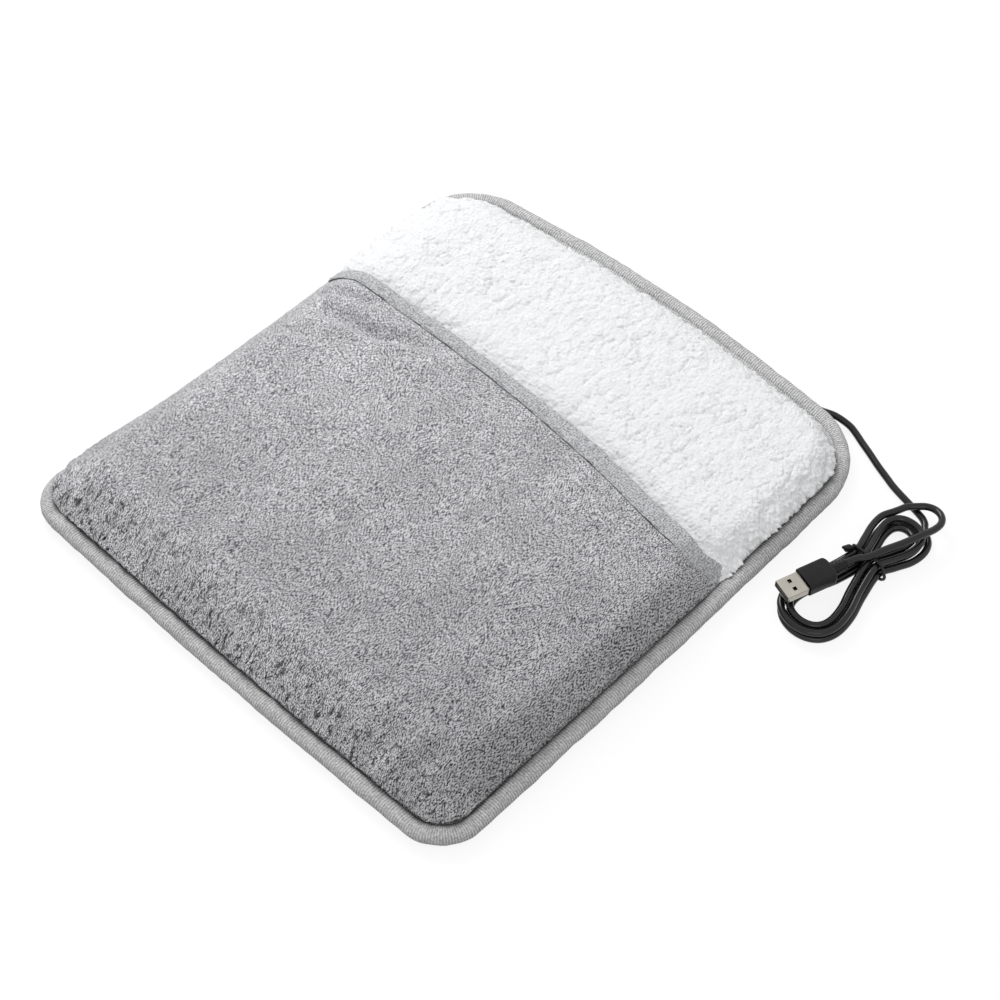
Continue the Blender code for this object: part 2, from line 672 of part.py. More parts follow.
def build_wiring(base_wadding, sole_wadding):
    """Heating wire on its carrier, thermal cut-out, splices and the cord's inner end with its anchor."""
    exit_place, out, across = exit_frame()

    def station(distance, sideways=0.0, height=WIRE_HEIGHT):
        """A point this far in from the exit along the cord's line, and to the side of it."""
        point = exit_place - out * distance + across * sideways
        return Vector((point.x, point.y, height))

    carrier = bpy.data.curves.new("heater_carrier", 'CURVE')
    carrier.dimensions = '2D'
    carrier.fill_mode = 'BOTH'
    carrier.extrude = CARRIER_THICKNESS / 2
    spline = carrier.splines.new('POLY')
    spline.use_cyclic_u = True
    corners = []
    for quarter in range(4):
        sign_x, sign_y = ((1, -1), (1, 1), (-1, 1), (-1, -1))[quarter]
        for step in range(5):
            angle = (quarter - 1 + step / 4) * math.pi / 2
            corners.append((sign_x * (CARRIER_WIDTH / 2 - CARRIER_CORNER_RADIUS)
                            + CARRIER_CORNER_RADIUS * math.cos(angle),
                            sign_y * (CARRIER_DEPTH / 2 - CARRIER_CORNER_RADIUS)
                            + CARRIER_CORNER_RADIUS * math.sin(angle)))
    spline.points.add(len(corners) - 1)
    for target, (x, y) in zip(spline.points, corners):
        target.co = (x, y, 0.0, 1.0)
    part = add_part("heater_carrier", carrier, CARRIER)
    part.location = (0.0, CARRIER_CENTRE_Y, CARRIER_BOTTOM + CARRIER_THICKNESS / 2)

    tail_end = station(TAIL_LENGTH, 0.0, EXIT_HEIGHT)
    mesh, middle = cylinder_between("cord_tail", tail_end, exit_place, CORD_RADIUS)
    add_part("cord_tail", mesh, BLACK).location = middle

    anchor_height = 2 * (EXIT_HOLE_RADIUS + ANCHOR_WALL)
    anchor_width = anchor_height + 2 * ANCHOR_WALL
    mesh = rounded_box("cord_anchor", (ANCHOR_LENGTH, anchor_width, anchor_height), ANCHOR_ROUNDING, 1)
    anchor = add_part("cord_anchor", mesh, BLACK)
    anchor.location = station(TAIL_LENGTH - ANCHOR_FROM_TAIL_END, 0.0, EXIT_HEIGHT)
    anchor.rotation_euler.z = EXIT_HEADING

    passage_start = station(TAIL_LENGTH, 0.0, EXIT_HEIGHT)
    passage_end = exit_place + out * BINDING_WIDTH
    mesh, middle = cylinder_between("cord_passage", passage_start, passage_end, EXIT_HOLE_RADIUS)
    passage = make_cutter("cord_passage", mesh)
    passage.location = middle

    splice_start = TAIL_LENGTH + LEAD_RUN
    splice_end = splice_start + SPLICE_LENGTH
    for number, sign in ((1, 1), (2, -1)):
        lead_radius = LEAD_WIRE_DIAMETER / 2
        start = station(TAIL_LENGTH + GAP, sign * CORE_SPACING / 2, EXIT_HEIGHT)
        route = [start,
                 station(TAIL_LENGTH + LEAD_WIRE_DIAMETER, sign * CORE_SPACING / 2, EXIT_HEIGHT),
                 station(splice_start - LEAD_WIRE_DIAMETER, sign * SPLICE_SPREAD),
                 station(splice_start - GAP, sign * SPLICE_SPREAD)]
        add_tube(f"lead_wire_{number}", smooth_route(route, LEAD_WIRE_DIAMETER), lead_radius, RED, 1)
        mesh, middle = cylinder_between(
            f"splice_{number}", station(splice_start, sign * SPLICE_SPREAD),
            station(splice_end, sign * SPLICE_SPREAD), SPLICE_DIAMETER / 2, 12)
        add_part(f"splice_{number}", mesh, SLEEVE).location = middle

    cutout = Vector((CUTOUT_X, CUTOUT_Y, WIRE_HEIGHT))
    mesh = rounded_box("thermal_cutout", (CUTOUT_LENGTH, CUTOUT_WIDTH, CUTOUT_HEIGHT), CUTOUT_ROUNDING)
    add_part("thermal_cutout", mesh, BLACK).location = cutout
    reach = Vector((CUTOUT_LENGTH / 2 + GAP, 0.0, 0.0))
    stub = Vector((WIRE_DIAMETER, 0.0, 0.0))

    # From the first splice back to the cut-out, in one turn
    first = station(splice_end + GAP, SPLICE_SPREAD)
    turn_out = station(splice_end + 3 * WIRE_DIAMETER, SPLICE_SPREAD)
    turn_low = Vector((turn_out.x, (turn_out.y + cutout.y) / 2, WIRE_HEIGHT)) - 1.5 * stub
    turn_back = Vector((turn_out.x, cutout.y, WIRE_HEIGHT)) + 2 * stub
    route = [first, turn_out, turn_low, turn_back, cutout - reach - stub, cutout - reach]
    add_tube("cutout_wire", smooth_route(route, 2 * WIRE_DIAMETER), WIRE_RADIUS, RED, 1)

    # From the second splice through all the runs and back to the cut-out's other end
    left = -CARRIER_WIDTH / 2 + WIRE_SIDE_MARGIN + WIRE_PITCH / 2
    right = -left - 2 * RETURN_MARGIN
    top = CARRIER_CENTRE_Y + CARRIER_DEPTH / 2 - WIRE_SIDE_MARGIN
    second = station(splice_end + GAP, -SPLICE_SPREAD)
    points = [second, station(splice_end + 2 * WIRE_DIAMETER, -SPLICE_SPREAD),
              Vector((turn_low.x - WIRE_PITCH / 2, cutout.y, WIRE_HEIGHT)),
              Vector((turn_low.x - WIRE_PITCH, top + WIRE_PITCH / 4, WIRE_HEIGHT)),
              Vector((turn_low.x - 2 * WIRE_PITCH, top, WIRE_HEIGHT))]
    points = smooth_route(points, 3 * WIRE_DIAMETER)
    for run in range(WIRE_RUNS):
        y = top - run * WIRE_PITCH
        heading = -1 if run % 2 == 0 else 1
        end_x = left if heading < 0 else right
        if run:
            points.append(Vector((right if heading < 0 else left, y, WIRE_HEIGHT)))
        if run < WIRE_RUNS - 1:
            points.append(Vector((end_x, y, WIRE_HEIGHT)))
            for step in range(1, 4):
                angle = step / 4 * math.pi
                points.append(Vector((end_x + heading * WIRE_PITCH / 2 * math.sin(angle),
                                      y - WIRE_PITCH / 2 * (1 - math.cos(angle)), WIRE_HEIGHT)))
    last_y = top - (WIRE_RUNS - 1) * WIRE_PITCH
    far = CARRIER_WIDTH / 2 - RETURN_MARGIN
    home = [Vector((right, last_y, WIRE_HEIGHT)),
            Vector((far - WIRE_PITCH / 3, last_y + WIRE_PITCH / 8, WIRE_HEIGHT)),
            Vector((far, last_y + WIRE_PITCH / 2, WIRE_HEIGHT)),
            Vector((far, CARRIER_CENTRE_Y, WIRE_HEIGHT)),
            Vector((far, top - WIRE_PITCH / 2, WIRE_HEIGHT)),
            Vector((far - WIRE_PITCH / 4, top + WIRE_PITCH / 2, WIRE_HEIGHT)),
            cutout + reach + 3 * stub,
            cutout + reach]
    points += smooth_route(home, 2 * WIRE_PITCH / 3)
    add_tube("heating_wire", points, WIRE_RADIUS, RED)

    # Room in the wadding round the anchor, the splices and the cut-out
    far_corner = station(TAIL_LENGTH - ANCHOR_FROM_TAIL_END - ANCHOR_LENGTH / 2)
    low_x = turn_low.x - RECESS_MARGIN
    low_y = cutout.y - CUTOUT_WIDTH / 2 - RECESS_MARGIN
    high_x = max(far_corner.x, cutout.x + CUTOUT_LENGTH / 2) + RECESS_MARGIN
    high_y = far_corner.y + RECESS_MARGIN
    low_z = EXIT_HEIGHT - anchor_height / 2 - GAP
    high_z = EXIT_HEIGHT + anchor_height / 2 + GAP
    mesh = rounded_box("wiring_recess", (high_x - low_x, high_y - low_y, high_z - low_z), 0.0)
    recess = make_cutter("wiring_recess", mesh)
    recess.location = ((low_x + high_x) / 2, (low_y + high_y) / 2, (low_z + high_z) / 2)
    cut(anchor, passage)
    cut(base_wadding, recess)
    cut(sole_wadding, recess)
    return passage


def hank_point(turns):
    """The cord's middle line in the hank, after this many turns from the far end, clockwise."""
    angle = 2 * math.pi * turns

    def base(angle):
        c, s = math.cos(angle), math.sin(angle)
        upper = 0.5 * (1 + math.tanh(c / LOBE_BLEND))
        swell = LOWER_SWELL + (UPPER_SWELL - LOWER_SWELL) * upper
        soft = math.hypot(c, WAIST_SOFTNESS) - WAIST_SOFTNESS
        soft /= math.hypot(1.0, WAIST_SOFTNESS) - WAIST_SOFTNESS
        length = UPPER_LENGTH if c > 0 else LOWER_LENGTH
        return Vector((s * (WAIST_HALF_WIDTH + swell * soft), length * c))

    # The spiral runs in for nearly half the turns, climbs in the upper lobe and runs out again a
    # layer higher, half a step further in so that its strands lie between the lower ones
    quarter = 1 / 4
    reverse = HANK_LOOPS / 2 - quarter
    inwards = (turns if turns < reverse else 2 * reverse - turns) - quarter
    climb = smooth_step((turns - reverse) / (2 * quarter))
    inwards += climb / 2 + CLIMB_DODGE_SHARE * climb * (1 - climb)
    step = math.radians(0.05)
    ahead, behind = base(angle + step), base(angle - step)
    heading = (ahead - behind).normalized()
    inward = Vector((heading.y, -heading.x))
    flat = base(angle) + inward * inwards * LOOP_STEP
    lift = WAIST_LIFT * smooth_step((WAIST_RUN - abs(flat.y)) / (WAIST_RUN - TIE_BAND))
    height = FLOOR_HEIGHT + lift + climb * LOOP_STEP
    turn_c, turn_s = math.cos(HANK_TILT), math.sin(HANK_TILT)
    return Vector((HANK_X + flat.x * turn_c - flat.y * turn_s,
                   HANK_Y + flat.x * turn_s + flat.y * turn_c, height))


def least_gap(points, diameter):
    """Least space between stretches of a tube that aren't neighbours, measured on fine points."""
    fine = []
    for a, b in zip(points, points[1:]):
        steps = max(1, math.ceil((b - a).length / (diameter / 4)))
        fine += [a.lerp(b, step / steps) for step in range(steps)]
    reach = int(3 * diameter / (diameter / 4)) * 2
    least = min((fine[i] - fine[j]).length for i in range(len(fine)) for j in range(i + reach, len(fine)))
    return least - diameter


def build_cord():
    exit_place, out, _ = exit_frame()
    hank = [hank_point(i / POINTS_PER_LOOP) for i in range(1, HANK_LOOPS * POINTS_PER_LOOP - 1)]
    into = (hank[1] - hank[0]).normalized()
    onward = (hank[-1] - hank[-2]).normalized()
    hank[0:1] = [hank[0] - into * CORD_DIAMETER, hank[0]]
    hank[-1:] = [hank[-1], hank[-1] + onward * CORD_DIAMETER]
    add_tube("cord_hank", hank, CORD_RADIUS, BLACK, 1)
    print(f"least gap in the hank {least_gap(hank, CORD_DIAMETER):.5f} m")

    # Free stretch: out of the seam, down to the floor and along it to the hank
    arrival = hank[0] - into * GAP
    route = [exit_place + out * GAP, exit_place + out * 1.5 * CORD_DIAMETER]
    route += [Vector((exit_place.x + x, exit_place.y + y, height)) for x, y, height in CORD_ROUTE]
    route += [arrival - into * 1.5 * CORD_DIAMETER, arrival]
    free = smooth_route(route, 2.2 * CORD_DIAMETER)
    add_tube("usb_cord", free, CORD_RADIUS, BLACK)

    # Last stretch: one wide loop beside the hank, then over its waist to the plug
    heading = Vector((math.sin(PLUG_HEADING), math.cos(PLUG_HEADING), 0.0))
    neck_end = plug_tip() + heading * (SHELL_LENGTH + GRIP_LENGTH + NECK_LENGTH + 2 * GAP)
    departure = hank[-1] + onward * GAP
    route = [departure, departure + onward * 1.2 * CORD_DIAMETER]
    route += [Vector((HANK_X + x, HANK_Y + y, share * LEAD_HEIGHT)) for x, y, share in LEAD_ROUTE]
    route += [neck_end + heading * 1.5 * CORD_DIAMETER, neck_end]
    lead = smooth_route(route, 1.2 * CORD_DIAMETER)
    add_tube("plug_lead", lead, CORD_RADIUS, BLACK)
    whole = polyline_length(free) + polyline_length(hank) + polyline_length(lead)
    print(f"cord length {whole:.4f} m")
    return hank, lead


def plug_tip():
    x, y = PLUG_TIP_FROM_HANK
    return Vector((HANK_X + x, HANK_Y + y, LEAD_HEIGHT))


def build_cord_tie(strands):
    """A plastic-covered wire once round the hank's waist, its two ends twisted together beside it."""
    reach = CORD_RADIUS + 1.5 * GAP + TIE_RADIUS
    rim = []
    for strand in strands:
        for a, b in zip(strand, strand[1:]):
            for step in range(17):
                point = a.lerp(b, step / 16)
                if abs(point.y - HANK_Y) > TIE_BAND:
                    continue
                for turn in range(16):
                    angle = turn / 16 * 2 * math.pi
                    rim.append(Vector((point.x + reach * math.cos(angle),
                                       point.z + reach * math.sin(angle))))
    around = [rim[i] for i in convex_hull_2d(rim)]
    first = min(range(len(around)), key=lambda i: around[i].x)
    around = around[first:] + around[:first + 1]
    apart = TIE_RADIUS + TIE_TWIST_GAP / 2 + GAP / 2
    ring = []
    total = sum((b - a).length for a, b in zip(around, around[1:]))
    run = 0.0
    for i, point in enumerate(around):
        if i:
            run += (point - around[i - 1]).length
        ring.append(Vector((point.x, HANK_Y + apart * (2 * run / total - 1), point.y)))
    root = ring[0].copy()
    root.y = HANK_Y

    def twist(side):
        strand = []
        for step in range(13):
            share = step / 12
            angle = share * TIE_TWIST_TURNS * 2 * math.pi
            strand.append(root + Vector((-TIE_DIAMETER - share * TIE_TWIST_LENGTH,
                                         side * apart * math.cos(angle), side * apart * math.sin(angle))))
        return strand

    points = twist(-1)[::-1] + ring + twist(1)
    add_tube("cord_tie", points, TIE_RADIUS, BLACK, 1)


def section_ring(width, height, rounding, at, corner_steps=3):
    """A rounded rectangle across the plug's length, as points."""
    rounding = min(rounding, width / 2, height / 2)
    ring = []
    for quarter in range(4):
        sign_x, sign_z = ((1, 1), (-1, 1), (-1, -1), (1, -1))[quarter]
        for step in range(corner_steps + 1):
            angle = (quarter + step / corner_steps) * math.pi / 2
            ring.append(Vector((sign_x * (width / 2 - rounding) + rounding * math.cos(angle), at,
                                sign_z * (height / 2 - rounding) + rounding * math.sin(angle))))
    return ring


def loft(name, rings):
    """A closed solid through rings of points, with flat ends."""
    bm = bmesh.new()
    rows = [[bm.verts.new(point) for point in ring] for ring in rings]
    for lower, upper in zip(rows, rows[1:]):
        for i in range(len(lower)):
            j = (i + 1) % len(lower)
            bm.faces.new((lower[i], lower[j], upper[j], upper[i]))
    bm.faces.new(rows[0])
    bm.faces.new(rows[-1])
    return mesh_from(name, bm)


def build_plug():
    """A USB-A plug, modelled along +Y from its open tip and turned into place by its empty."""
    place = bpy.data.objects.new("plug_place", None)
    PARTS.objects.link(place)
    place.location = plug_tip()
    place.rotation_euler.z = -PLUG_HEADING

    bm = bmesh.new()
    rows = []
    for at in (0.0, SHELL_LENGTH):
        ring = section_ring(SHELL_WIDTH, SHELL_HEIGHT, SHELL_ROUNDING, at, 2)
        rows.append([bm.verts.new(point) for point in ring])
    for i in range(len(rows[0])):
        j = (i + 1) % len(rows[0])
        bm.faces.new((rows[0][i], rows[1][i], rows[1][j], rows[0][j]))
    shell = add_part("plug_shell", mesh_from("plug_shell", bm), METAL)
    solid = shell.modifiers.new("wall", 'SOLIDIFY')
    solid.thickness = SHELL_WALL
    solid.offset = -1.0
    solid.use_even_offset = True
    for side in (-1, 1):
        window_size = (WINDOW_WIDTH, WINDOW_LENGTH, SHELL_HEIGHT + 2 * SHELL_WALL)
        cutter = make_cutter("plug_window", rounded_box("plug_window", window_size, 0.0))
        cutter.parent = place
        cutter.location = (side * WINDOW_SPACING / 2, WINDOW_FROM_TIP, 0.0)
        cut(shell, cutter)

    tongue_width = SHELL_WIDTH - 2 * (SHELL_WALL + GAP)
    tongue_length = SHELL_LENGTH - TONGUE_SETBACK - GAP
    tongue_bottom = -SHELL_HEIGHT / 2 + SHELL_WALL + GAP
    mesh = rounded_box("plug_tongue", (tongue_width, tongue_length, TONGUE_THICKNESS), 0.0)
    tongue = add_part("plug_tongue", mesh, TONGUE)
    tongue.location = (0.0, TONGUE_SETBACK + tongue_length / 2, tongue_bottom + TONGUE_THICKNESS / 2)
    contact_size = (CONTACT_WIDTH, CONTACT_LENGTH, CONTACT_THICKNESS)
    contacts = []
    for number in range(4):
        mesh = rounded_box(f"plug_contact_{number + 1}", contact_size, 0.0)
        contact = add_part(f"plug_contact_{number + 1}", mesh, CONTACT)
        contact.location = ((number - 1.5) * CONTACT_SPACING,
                            TONGUE_SETBACK + CONTACT_SETBACK + CONTACT_LENGTH / 2,
                            tongue_bottom + TONGUE_THICKNESS + GAP + CONTACT_THICKNESS / 2)
        contacts.append(contact)

    grip_start = SHELL_LENGTH + GAP
    grip_end = grip_start + GRIP_LENGTH
    neck_end = grip_end + NECK_LENGTH
    tip_size = CORD_DIAMETER + 2 * NECK_END_WALL
    rings = [
        section_ring(GRIP_WIDTH - GRIP_ROUNDING / 2, GRIP_HEIGHT - GRIP_ROUNDING / 2, GRIP_ROUNDING, grip_start),
        section_ring(GRIP_WIDTH, GRIP_HEIGHT, GRIP_ROUNDING, grip_start + GRIP_ROUNDING / 4),
        section_ring(GRIP_WIDTH, GRIP_HEIGHT, GRIP_ROUNDING, grip_end - SHOULDER_LENGTH),
        section_ring((GRIP_WIDTH + NECK_WIDTH) / 2, (GRIP_HEIGHT + NECK_HEIGHT) / 2, GRIP_ROUNDING,
                     grip_end - SHOULDER_LENGTH / 4),
        section_ring(NECK_WIDTH, NECK_HEIGHT, NECK_HEIGHT / 2, grip_end),
        section_ring(tip_size, tip_size, tip_size / 2, neck_end)]
    body = add_part("plug_body", loft("plug_body", rings), BLACK)
    for part in (shell, tongue, body, *contacts):
        part.parent = place


clear_scene()
PARTS = new_collection("electric_foot_warmer")
CUTTERS = new_collection("cutters")
CUTTERS.hide_render = True
FLEECE = make_material("grey_fleece", GREY_FLEECE, 0.95)
SHERPA = make_material("white_sherpa", WHITE_SHERPA, 0.95)
LINING = make_material("pocket_lining", LINING_WHITE, 0.95)
WADDING = make_material("wadding", WADDING_WHITE, 0.95)
KNIT = make_material("grey_knit_tape", GREY_KNIT, 0.90)
CARRIER = make_material("non_woven_carrier", CARRIER_WHITE, 0.80)
RED = make_material("silicone_wire", RED_SILICONE, 0.50)
SLEEVE = make_material("shrink_sleeve", SLEEVE_CLEAR, 0.45)
BLACK = make_material("black_plastic", BLACK_PLASTIC, 0.45)
METAL = make_material("nickel_plate", NICKEL, 0.25, 1.0)
TONGUE = make_material("tongue_plastic", TONGUE_BLACK, 0.50)
CONTACT = make_material("gold_contact", GOLD, 0.30, 1.0)

cover, lower_wadding, upper_wadding, sole = build_mat_layers()
build_pocket_layers()
binding = build_edge_binding()
build_mouth_binding()
cord_passage = build_wiring(lower_wadding, upper_wadding)
for crossed in (binding, sole, lower_wadding):
    cut(crossed, cord_passage)
build_cord_tie(build_cord())
build_plug()
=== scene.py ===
"""Looks of the electric foot warmer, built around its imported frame. Metres, +Z up.

The mat lies on Z = 0 with its centre over the origin. The closed toe end is at -Y, the open end at
+Y, and the lead leaves the seam near the corner at +X, +Y.
"""
import math

import bpy
import numpy as np
from mathutils import Matrix, Vector
from mathutils.geometry import convex_hull_2d


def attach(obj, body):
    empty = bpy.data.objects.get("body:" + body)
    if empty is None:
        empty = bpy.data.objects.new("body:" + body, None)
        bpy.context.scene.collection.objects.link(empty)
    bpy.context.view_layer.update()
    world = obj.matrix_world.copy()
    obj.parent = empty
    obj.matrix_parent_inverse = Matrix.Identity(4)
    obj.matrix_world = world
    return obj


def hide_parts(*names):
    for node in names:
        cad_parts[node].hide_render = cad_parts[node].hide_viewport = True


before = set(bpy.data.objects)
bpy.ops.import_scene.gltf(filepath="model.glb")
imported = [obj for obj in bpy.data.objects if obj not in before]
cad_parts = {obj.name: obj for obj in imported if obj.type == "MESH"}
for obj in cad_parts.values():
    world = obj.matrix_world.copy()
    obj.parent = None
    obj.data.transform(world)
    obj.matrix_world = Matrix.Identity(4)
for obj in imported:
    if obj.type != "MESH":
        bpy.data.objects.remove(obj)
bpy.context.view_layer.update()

TAU = 2 * math.pi

# The mat's sizes, as in the CAD source
GAP = 0.0003
HALF_WIDTH = 0.1500
HALF_DEPTH = 0.1603
TOE_RADIUS = 0.0252
BACK_RADIUS = 0.0385
INNER_RADIUS = 0.014
TOE_BOW, BACK_BOW = 0.0025, 0.0122
RIGHT_BOW, LEFT_HOLLOW, SIDE_SHIFT = 0.0013, 0.0038, 0.0011
BOW_START, BOW_FULL = 0.30, 0.85
CENTRE_SHIFT = (BACK_BOW - TOE_BOW) / 2
BINDING_WIDTH = 0.0090
BINDING_HEIGHT = 0.0094
BINDING_BEND = 0.0045
SEAM_INSET = BINDING_WIDTH + GAP
SHOULDER_RUN = 0.027
SHOULDER_POWER = 2.1
STEEPER_BY = 0.012
MOUTH_HEIGHT, MOUTH_FALL = 0.0278, 0.0012
POCKET_PUFF = 0.0048
MOUTH_LINE_Y, MOUTH_SKEW, MOUTH_BOW = 0.0505, 0.0090, 0.0039
MOUTH_DIP_X, MOUTH_DIP_RUN, MOUTH_DIP = 0.117, 0.046, 0.0063
MOUTH_HOOK_START, MOUTH_HOOK_RUN = 0.128, 0.0125
TAPE_WIDTH = 0.0120
TAPE_WIDTH_LEFT, TAPE_WIDENING, TAPE_WIDENS_FROM, TAPE_WIDENS_OVER = 0.0086, 0.0024, -0.030, 0.090
TAPE_THICKNESS = 0.0011
TAPE_HALF_HEIGHT = 0.00265
MOUTH_HEM = 0.0011
SOLE_STEP_RUN = 0.014
CORD_DIAMETER = 0.0038
FLOOR_HEIGHT = CORD_DIAMETER / 2 + GAP
POCKET_HEM_INSET, SOLE_HEM_INSET = 0.0048, 0.0050
POCKET_HEM_TOP, POCKET_HEM_BOTTOM = 0.0072, 0.0070
POCKET_FLEECE, LINING_DROP = 0.0022, 0.0015
SOLE_LEVEL, SOLE_STEP = 0.0160, 0.0030
TAPE_END_LEVEL = 0.00685
COARSE = 8

# Camera, fitted to the outline in the photograph
CAMERA_AZIMUTH = math.radians(43.418)
CAMERA_ELEVATION = math.radians(52.651)
CAMERA_PLACE = (0.4591, -0.45605, 0.8296)
CAMERA_LENS = 73.77


def smooth_step(value):
    value = np.clip(value, 0.0, 1.0)
    return value * value * (3 - 2 * value)


def bowed(x, y):
    """A place in the flat plan, moved to where the bowed sides put it."""
    u, v = x / HALF_WIDTH, y / HALF_DEPTH
    span = BOW_FULL - BOW_START
    across = np.cos(np.minimum(np.abs(u), 1.0) * math.pi / 2) * smooth_step((np.abs(v) - BOW_START) / span)
    along = np.cos(np.minimum(np.abs(v), 1.0) * math.pi / 2) * smooth_step((np.abs(u) - BOW_START) / span)
    end_bow = np.where(y > 0, BACK_BOW, -TOE_BOW)
    side_bow = np.where(x > 0, RIGHT_BOW, LEFT_HOLLOW)
    return x + side_bow * along - SIDE_SHIFT, y + end_bow * across - CENTRE_SHIFT


def left_side(x, y):
    """1 along the side at -X, fading towards its corners and inwards."""
    return smooth_step((-x / HALF_WIDTH - 0.45) / 0.35) * smooth_step(
        np.where(y < 0.01, (y + 0.160) / 0.040, (0.158 - y) / 0.06))


def inset_of(x, y):
    """Distance in from the flat outline, along rings whose corners stay round."""
    a, b = HALF_WIDTH - np.abs(x), HALF_DEPTH - np.abs(y)
    radius = np.where(y < 0, TOE_RADIUS, BACK_RADIUS)
    near = radius - np.hypot(np.maximum(radius - a, 0), np.maximum(radius - b, 0))
    ring = np.where((a < radius) & (b < radius), near, np.minimum(a, b))
    inside = INNER_RADIUS ** 2 / 2 - (a - b) ** 2 / 4
    deep = (a + b) / 2 - INNER_RADIUS + np.sqrt(np.maximum(inside, 0))
    use_deep = (np.abs(a - b) < INNER_RADIUS) & (deep > radius - INNER_RADIUS)
    return np.where(use_deep, deep, ring)


def mouth_y(x):
    """The mouth's line in the flat plan: skewed and bowed, with a dip and a hook near +X."""
    share = x / HALF_WIDTH
    dip = MOUTH_DIP * (np.exp(-((x - MOUTH_DIP_X) / MOUTH_DIP_RUN) ** 2)
                       - smooth_step((x - MOUTH_HOOK_START) / MOUTH_HOOK_RUN))
    return MOUTH_LINE_Y - MOUTH_SKEW / 2 * share + MOUTH_BOW * (1 - share * share) - dip


def tape_width(x):
    """How much of the tape shows on the pocket, as in the photograph."""
    return TAPE_WIDTH_LEFT + TAPE_WIDENING * smooth_step((x - TAPE_WIDENS_FROM) / TAPE_WIDENS_OVER)


def mouth_height(x):
    return MOUTH_HEIGHT - MOUTH_FALL * smooth_step(x / HALF_WIDTH)


def shoulder(inset):
    """The padding's rise from the seam, from 0 to 1."""
    run = np.clip((inset - SEAM_INSET) / SHOULDER_RUN, 0.0, 1.0)
    return 1 - (1 - run) ** SHOULDER_POWER


def steep_rise(x, y, lip=0.0):
    """The shoulder of the visible padding, steeper along the side at +X."""
    steeper = STEEPER_BY * smooth_step((x / HALF_WIDTH - 0.4) / 0.4) * smooth_step((y + 0.13) / 0.04)
    steeper = steeper * smooth_step((np.abs(y - mouth_y(x)) - 0.002) / 0.025)
    run = np.clip((inset_of(x, y) - SEAM_INSET - lip) / (SHOULDER_RUN - steeper), 0.0, 1.0)
    return 1 - (1 - run) ** SHOULDER_POWER


def puff(x, y):
    """The pocket's swelling behind its mouth tape, from 0 to 1."""
    run = (mouth_y(x) - y - tape_width(x) - GAP) / SHOULDER_RUN
    return 1 - (1 - np.clip(run, 0.0, 1.0)) ** SHOULDER_POWER


def back_side(y):
    """1 along the open end's edge, where the binding's inner lip shows."""
    return smooth_step((y / HALF_DEPTH - 0.80) / 0.12)


def behind_mouth(x, y):
    return smooth_step((y - mouth_y(x)) / SOLE_STEP_RUN)


def hash_unit(ix, iy, seed):
    """A number from 0 to 1 for each cell of a grid."""
    h = (ix.astype(np.int64) * 374761393 + iy.astype(np.int64) * 668265263 + seed * 2147483647) & 0xFFFFFFFF
    h = ((h ^ (h >> 13)) * 1274126177) & 0xFFFFFFFF
    h = ((h ^ (h >> 16)) * 2246822519) & 0xFFFFFFFF
    return ((h ^ (h >> 15)) & 0xFFFFFF) / 0xFFFFFF


def noise(x, y, seed=0):
    """Smooth noise from about -1 to 1 with cells of unit size."""
    ix, iy = np.floor(x), np.floor(y)
    fx, fy = x - ix, y - iy
    sx, sy = fx ** 3 * (fx * (fx * 6 - 15) + 10), fy ** 3 * (fy * (fy * 6 - 15) + 10)
    total = 0.0
    for dx in (0, 1):
        for dy in (0, 1):
            angle = hash_unit(ix + dx, iy + dy, seed) * TAU
            dot = np.cos(angle) * (fx - dx) + np.sin(angle) * (fy - dy)
            total = total + dot * (sx if dx else 1 - sx) * (sy if dy else 1 - sy)
    return total * 1.5


def cells(x, y, seed=0):
    """Distances to the nearest and the next point of a jittered grid with cells of unit size."""
    ix, iy = np.floor(x), np.floor(y)
    first = np.full(x.shape, 9.0)
    second = np.full(x.shape, 9.0)
    for dx in (-1, 0, 1):
        for dy in (-1, 0, 1):
            px = ix + dx + hash_unit(ix + dx, iy + dy, seed)
            py = iy + dy + hash_unit(ix + dx, iy + dy, seed + 17)
            distance = np.hypot(px - x, py - y)
            second = np.minimum(second, np.maximum(first, distance))
            first = np.minimum(first, distance)
    return first, second


def add_piece(name, data, material, slot, *nodes):
    """Adds a visible piece that rides the part's one body and stands for the named CAD nodes."""
    data.materials.append(material)
    piece = bpy.data.objects.new(name, data)
    bpy.context.scene.collection.objects.link(piece)
    if isinstance(data, bpy.types.Mesh):
        data.shade_smooth()
    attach(piece, "root")
    if nodes:
        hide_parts(*nodes)
    return piece


def mesh_of(name, points, faces):
    mesh = bpy.data.meshes.new(name)
    mesh.from_pydata(points, [], faces)
    mesh.update()
    return mesh


def quads(rows, turned=False):
    """Faces between neighbouring rows of point numbers."""
    corners = (rows[:-1, :-1], rows[:-1, 1:], rows[1:, 1:], rows[1:, :-1])
    if turned:
        corners = (corners[0], corners[3], corners[2], corners[1])
    return np.stack(corners, -1).reshape(-1, 4).tolist()


def closed_layer(name, top, bottom, coarse):
    """A closed mesh: a dense upper grid of points, and a lower one at every coarse-th line."""
    rows, columns = top.shape[:2]
    index = np.arange(rows * columns).reshape(rows, columns)
    low = bottom[::coarse, ::coarse]
    low_index = np.arange(low.shape[0] * low.shape[1]).reshape(low.shape[:2]) + rows * columns
    faces = quads(index) + quads(low_index, turned=True)
    for fine, rough in ((index[0], low_index[0]), (index[:, -1], low_index[:, -1]),
                        (index[-1, ::-1], low_index[-1, ::-1]), (index[::-1, 0], low_index[::-1, 0])):
        for i in range(len(rough) - 1):
            stretch = fine[i * coarse:(i + 1) * coarse + 1][::-1]
            faces.append([int(v) for v in stretch] + [int(rough[i]), int(rough[i + 1])])
    points = np.concatenate((top.reshape(-1, 3), low.reshape(-1, 3)))
    return mesh_of(name, points.tolist(), faces)


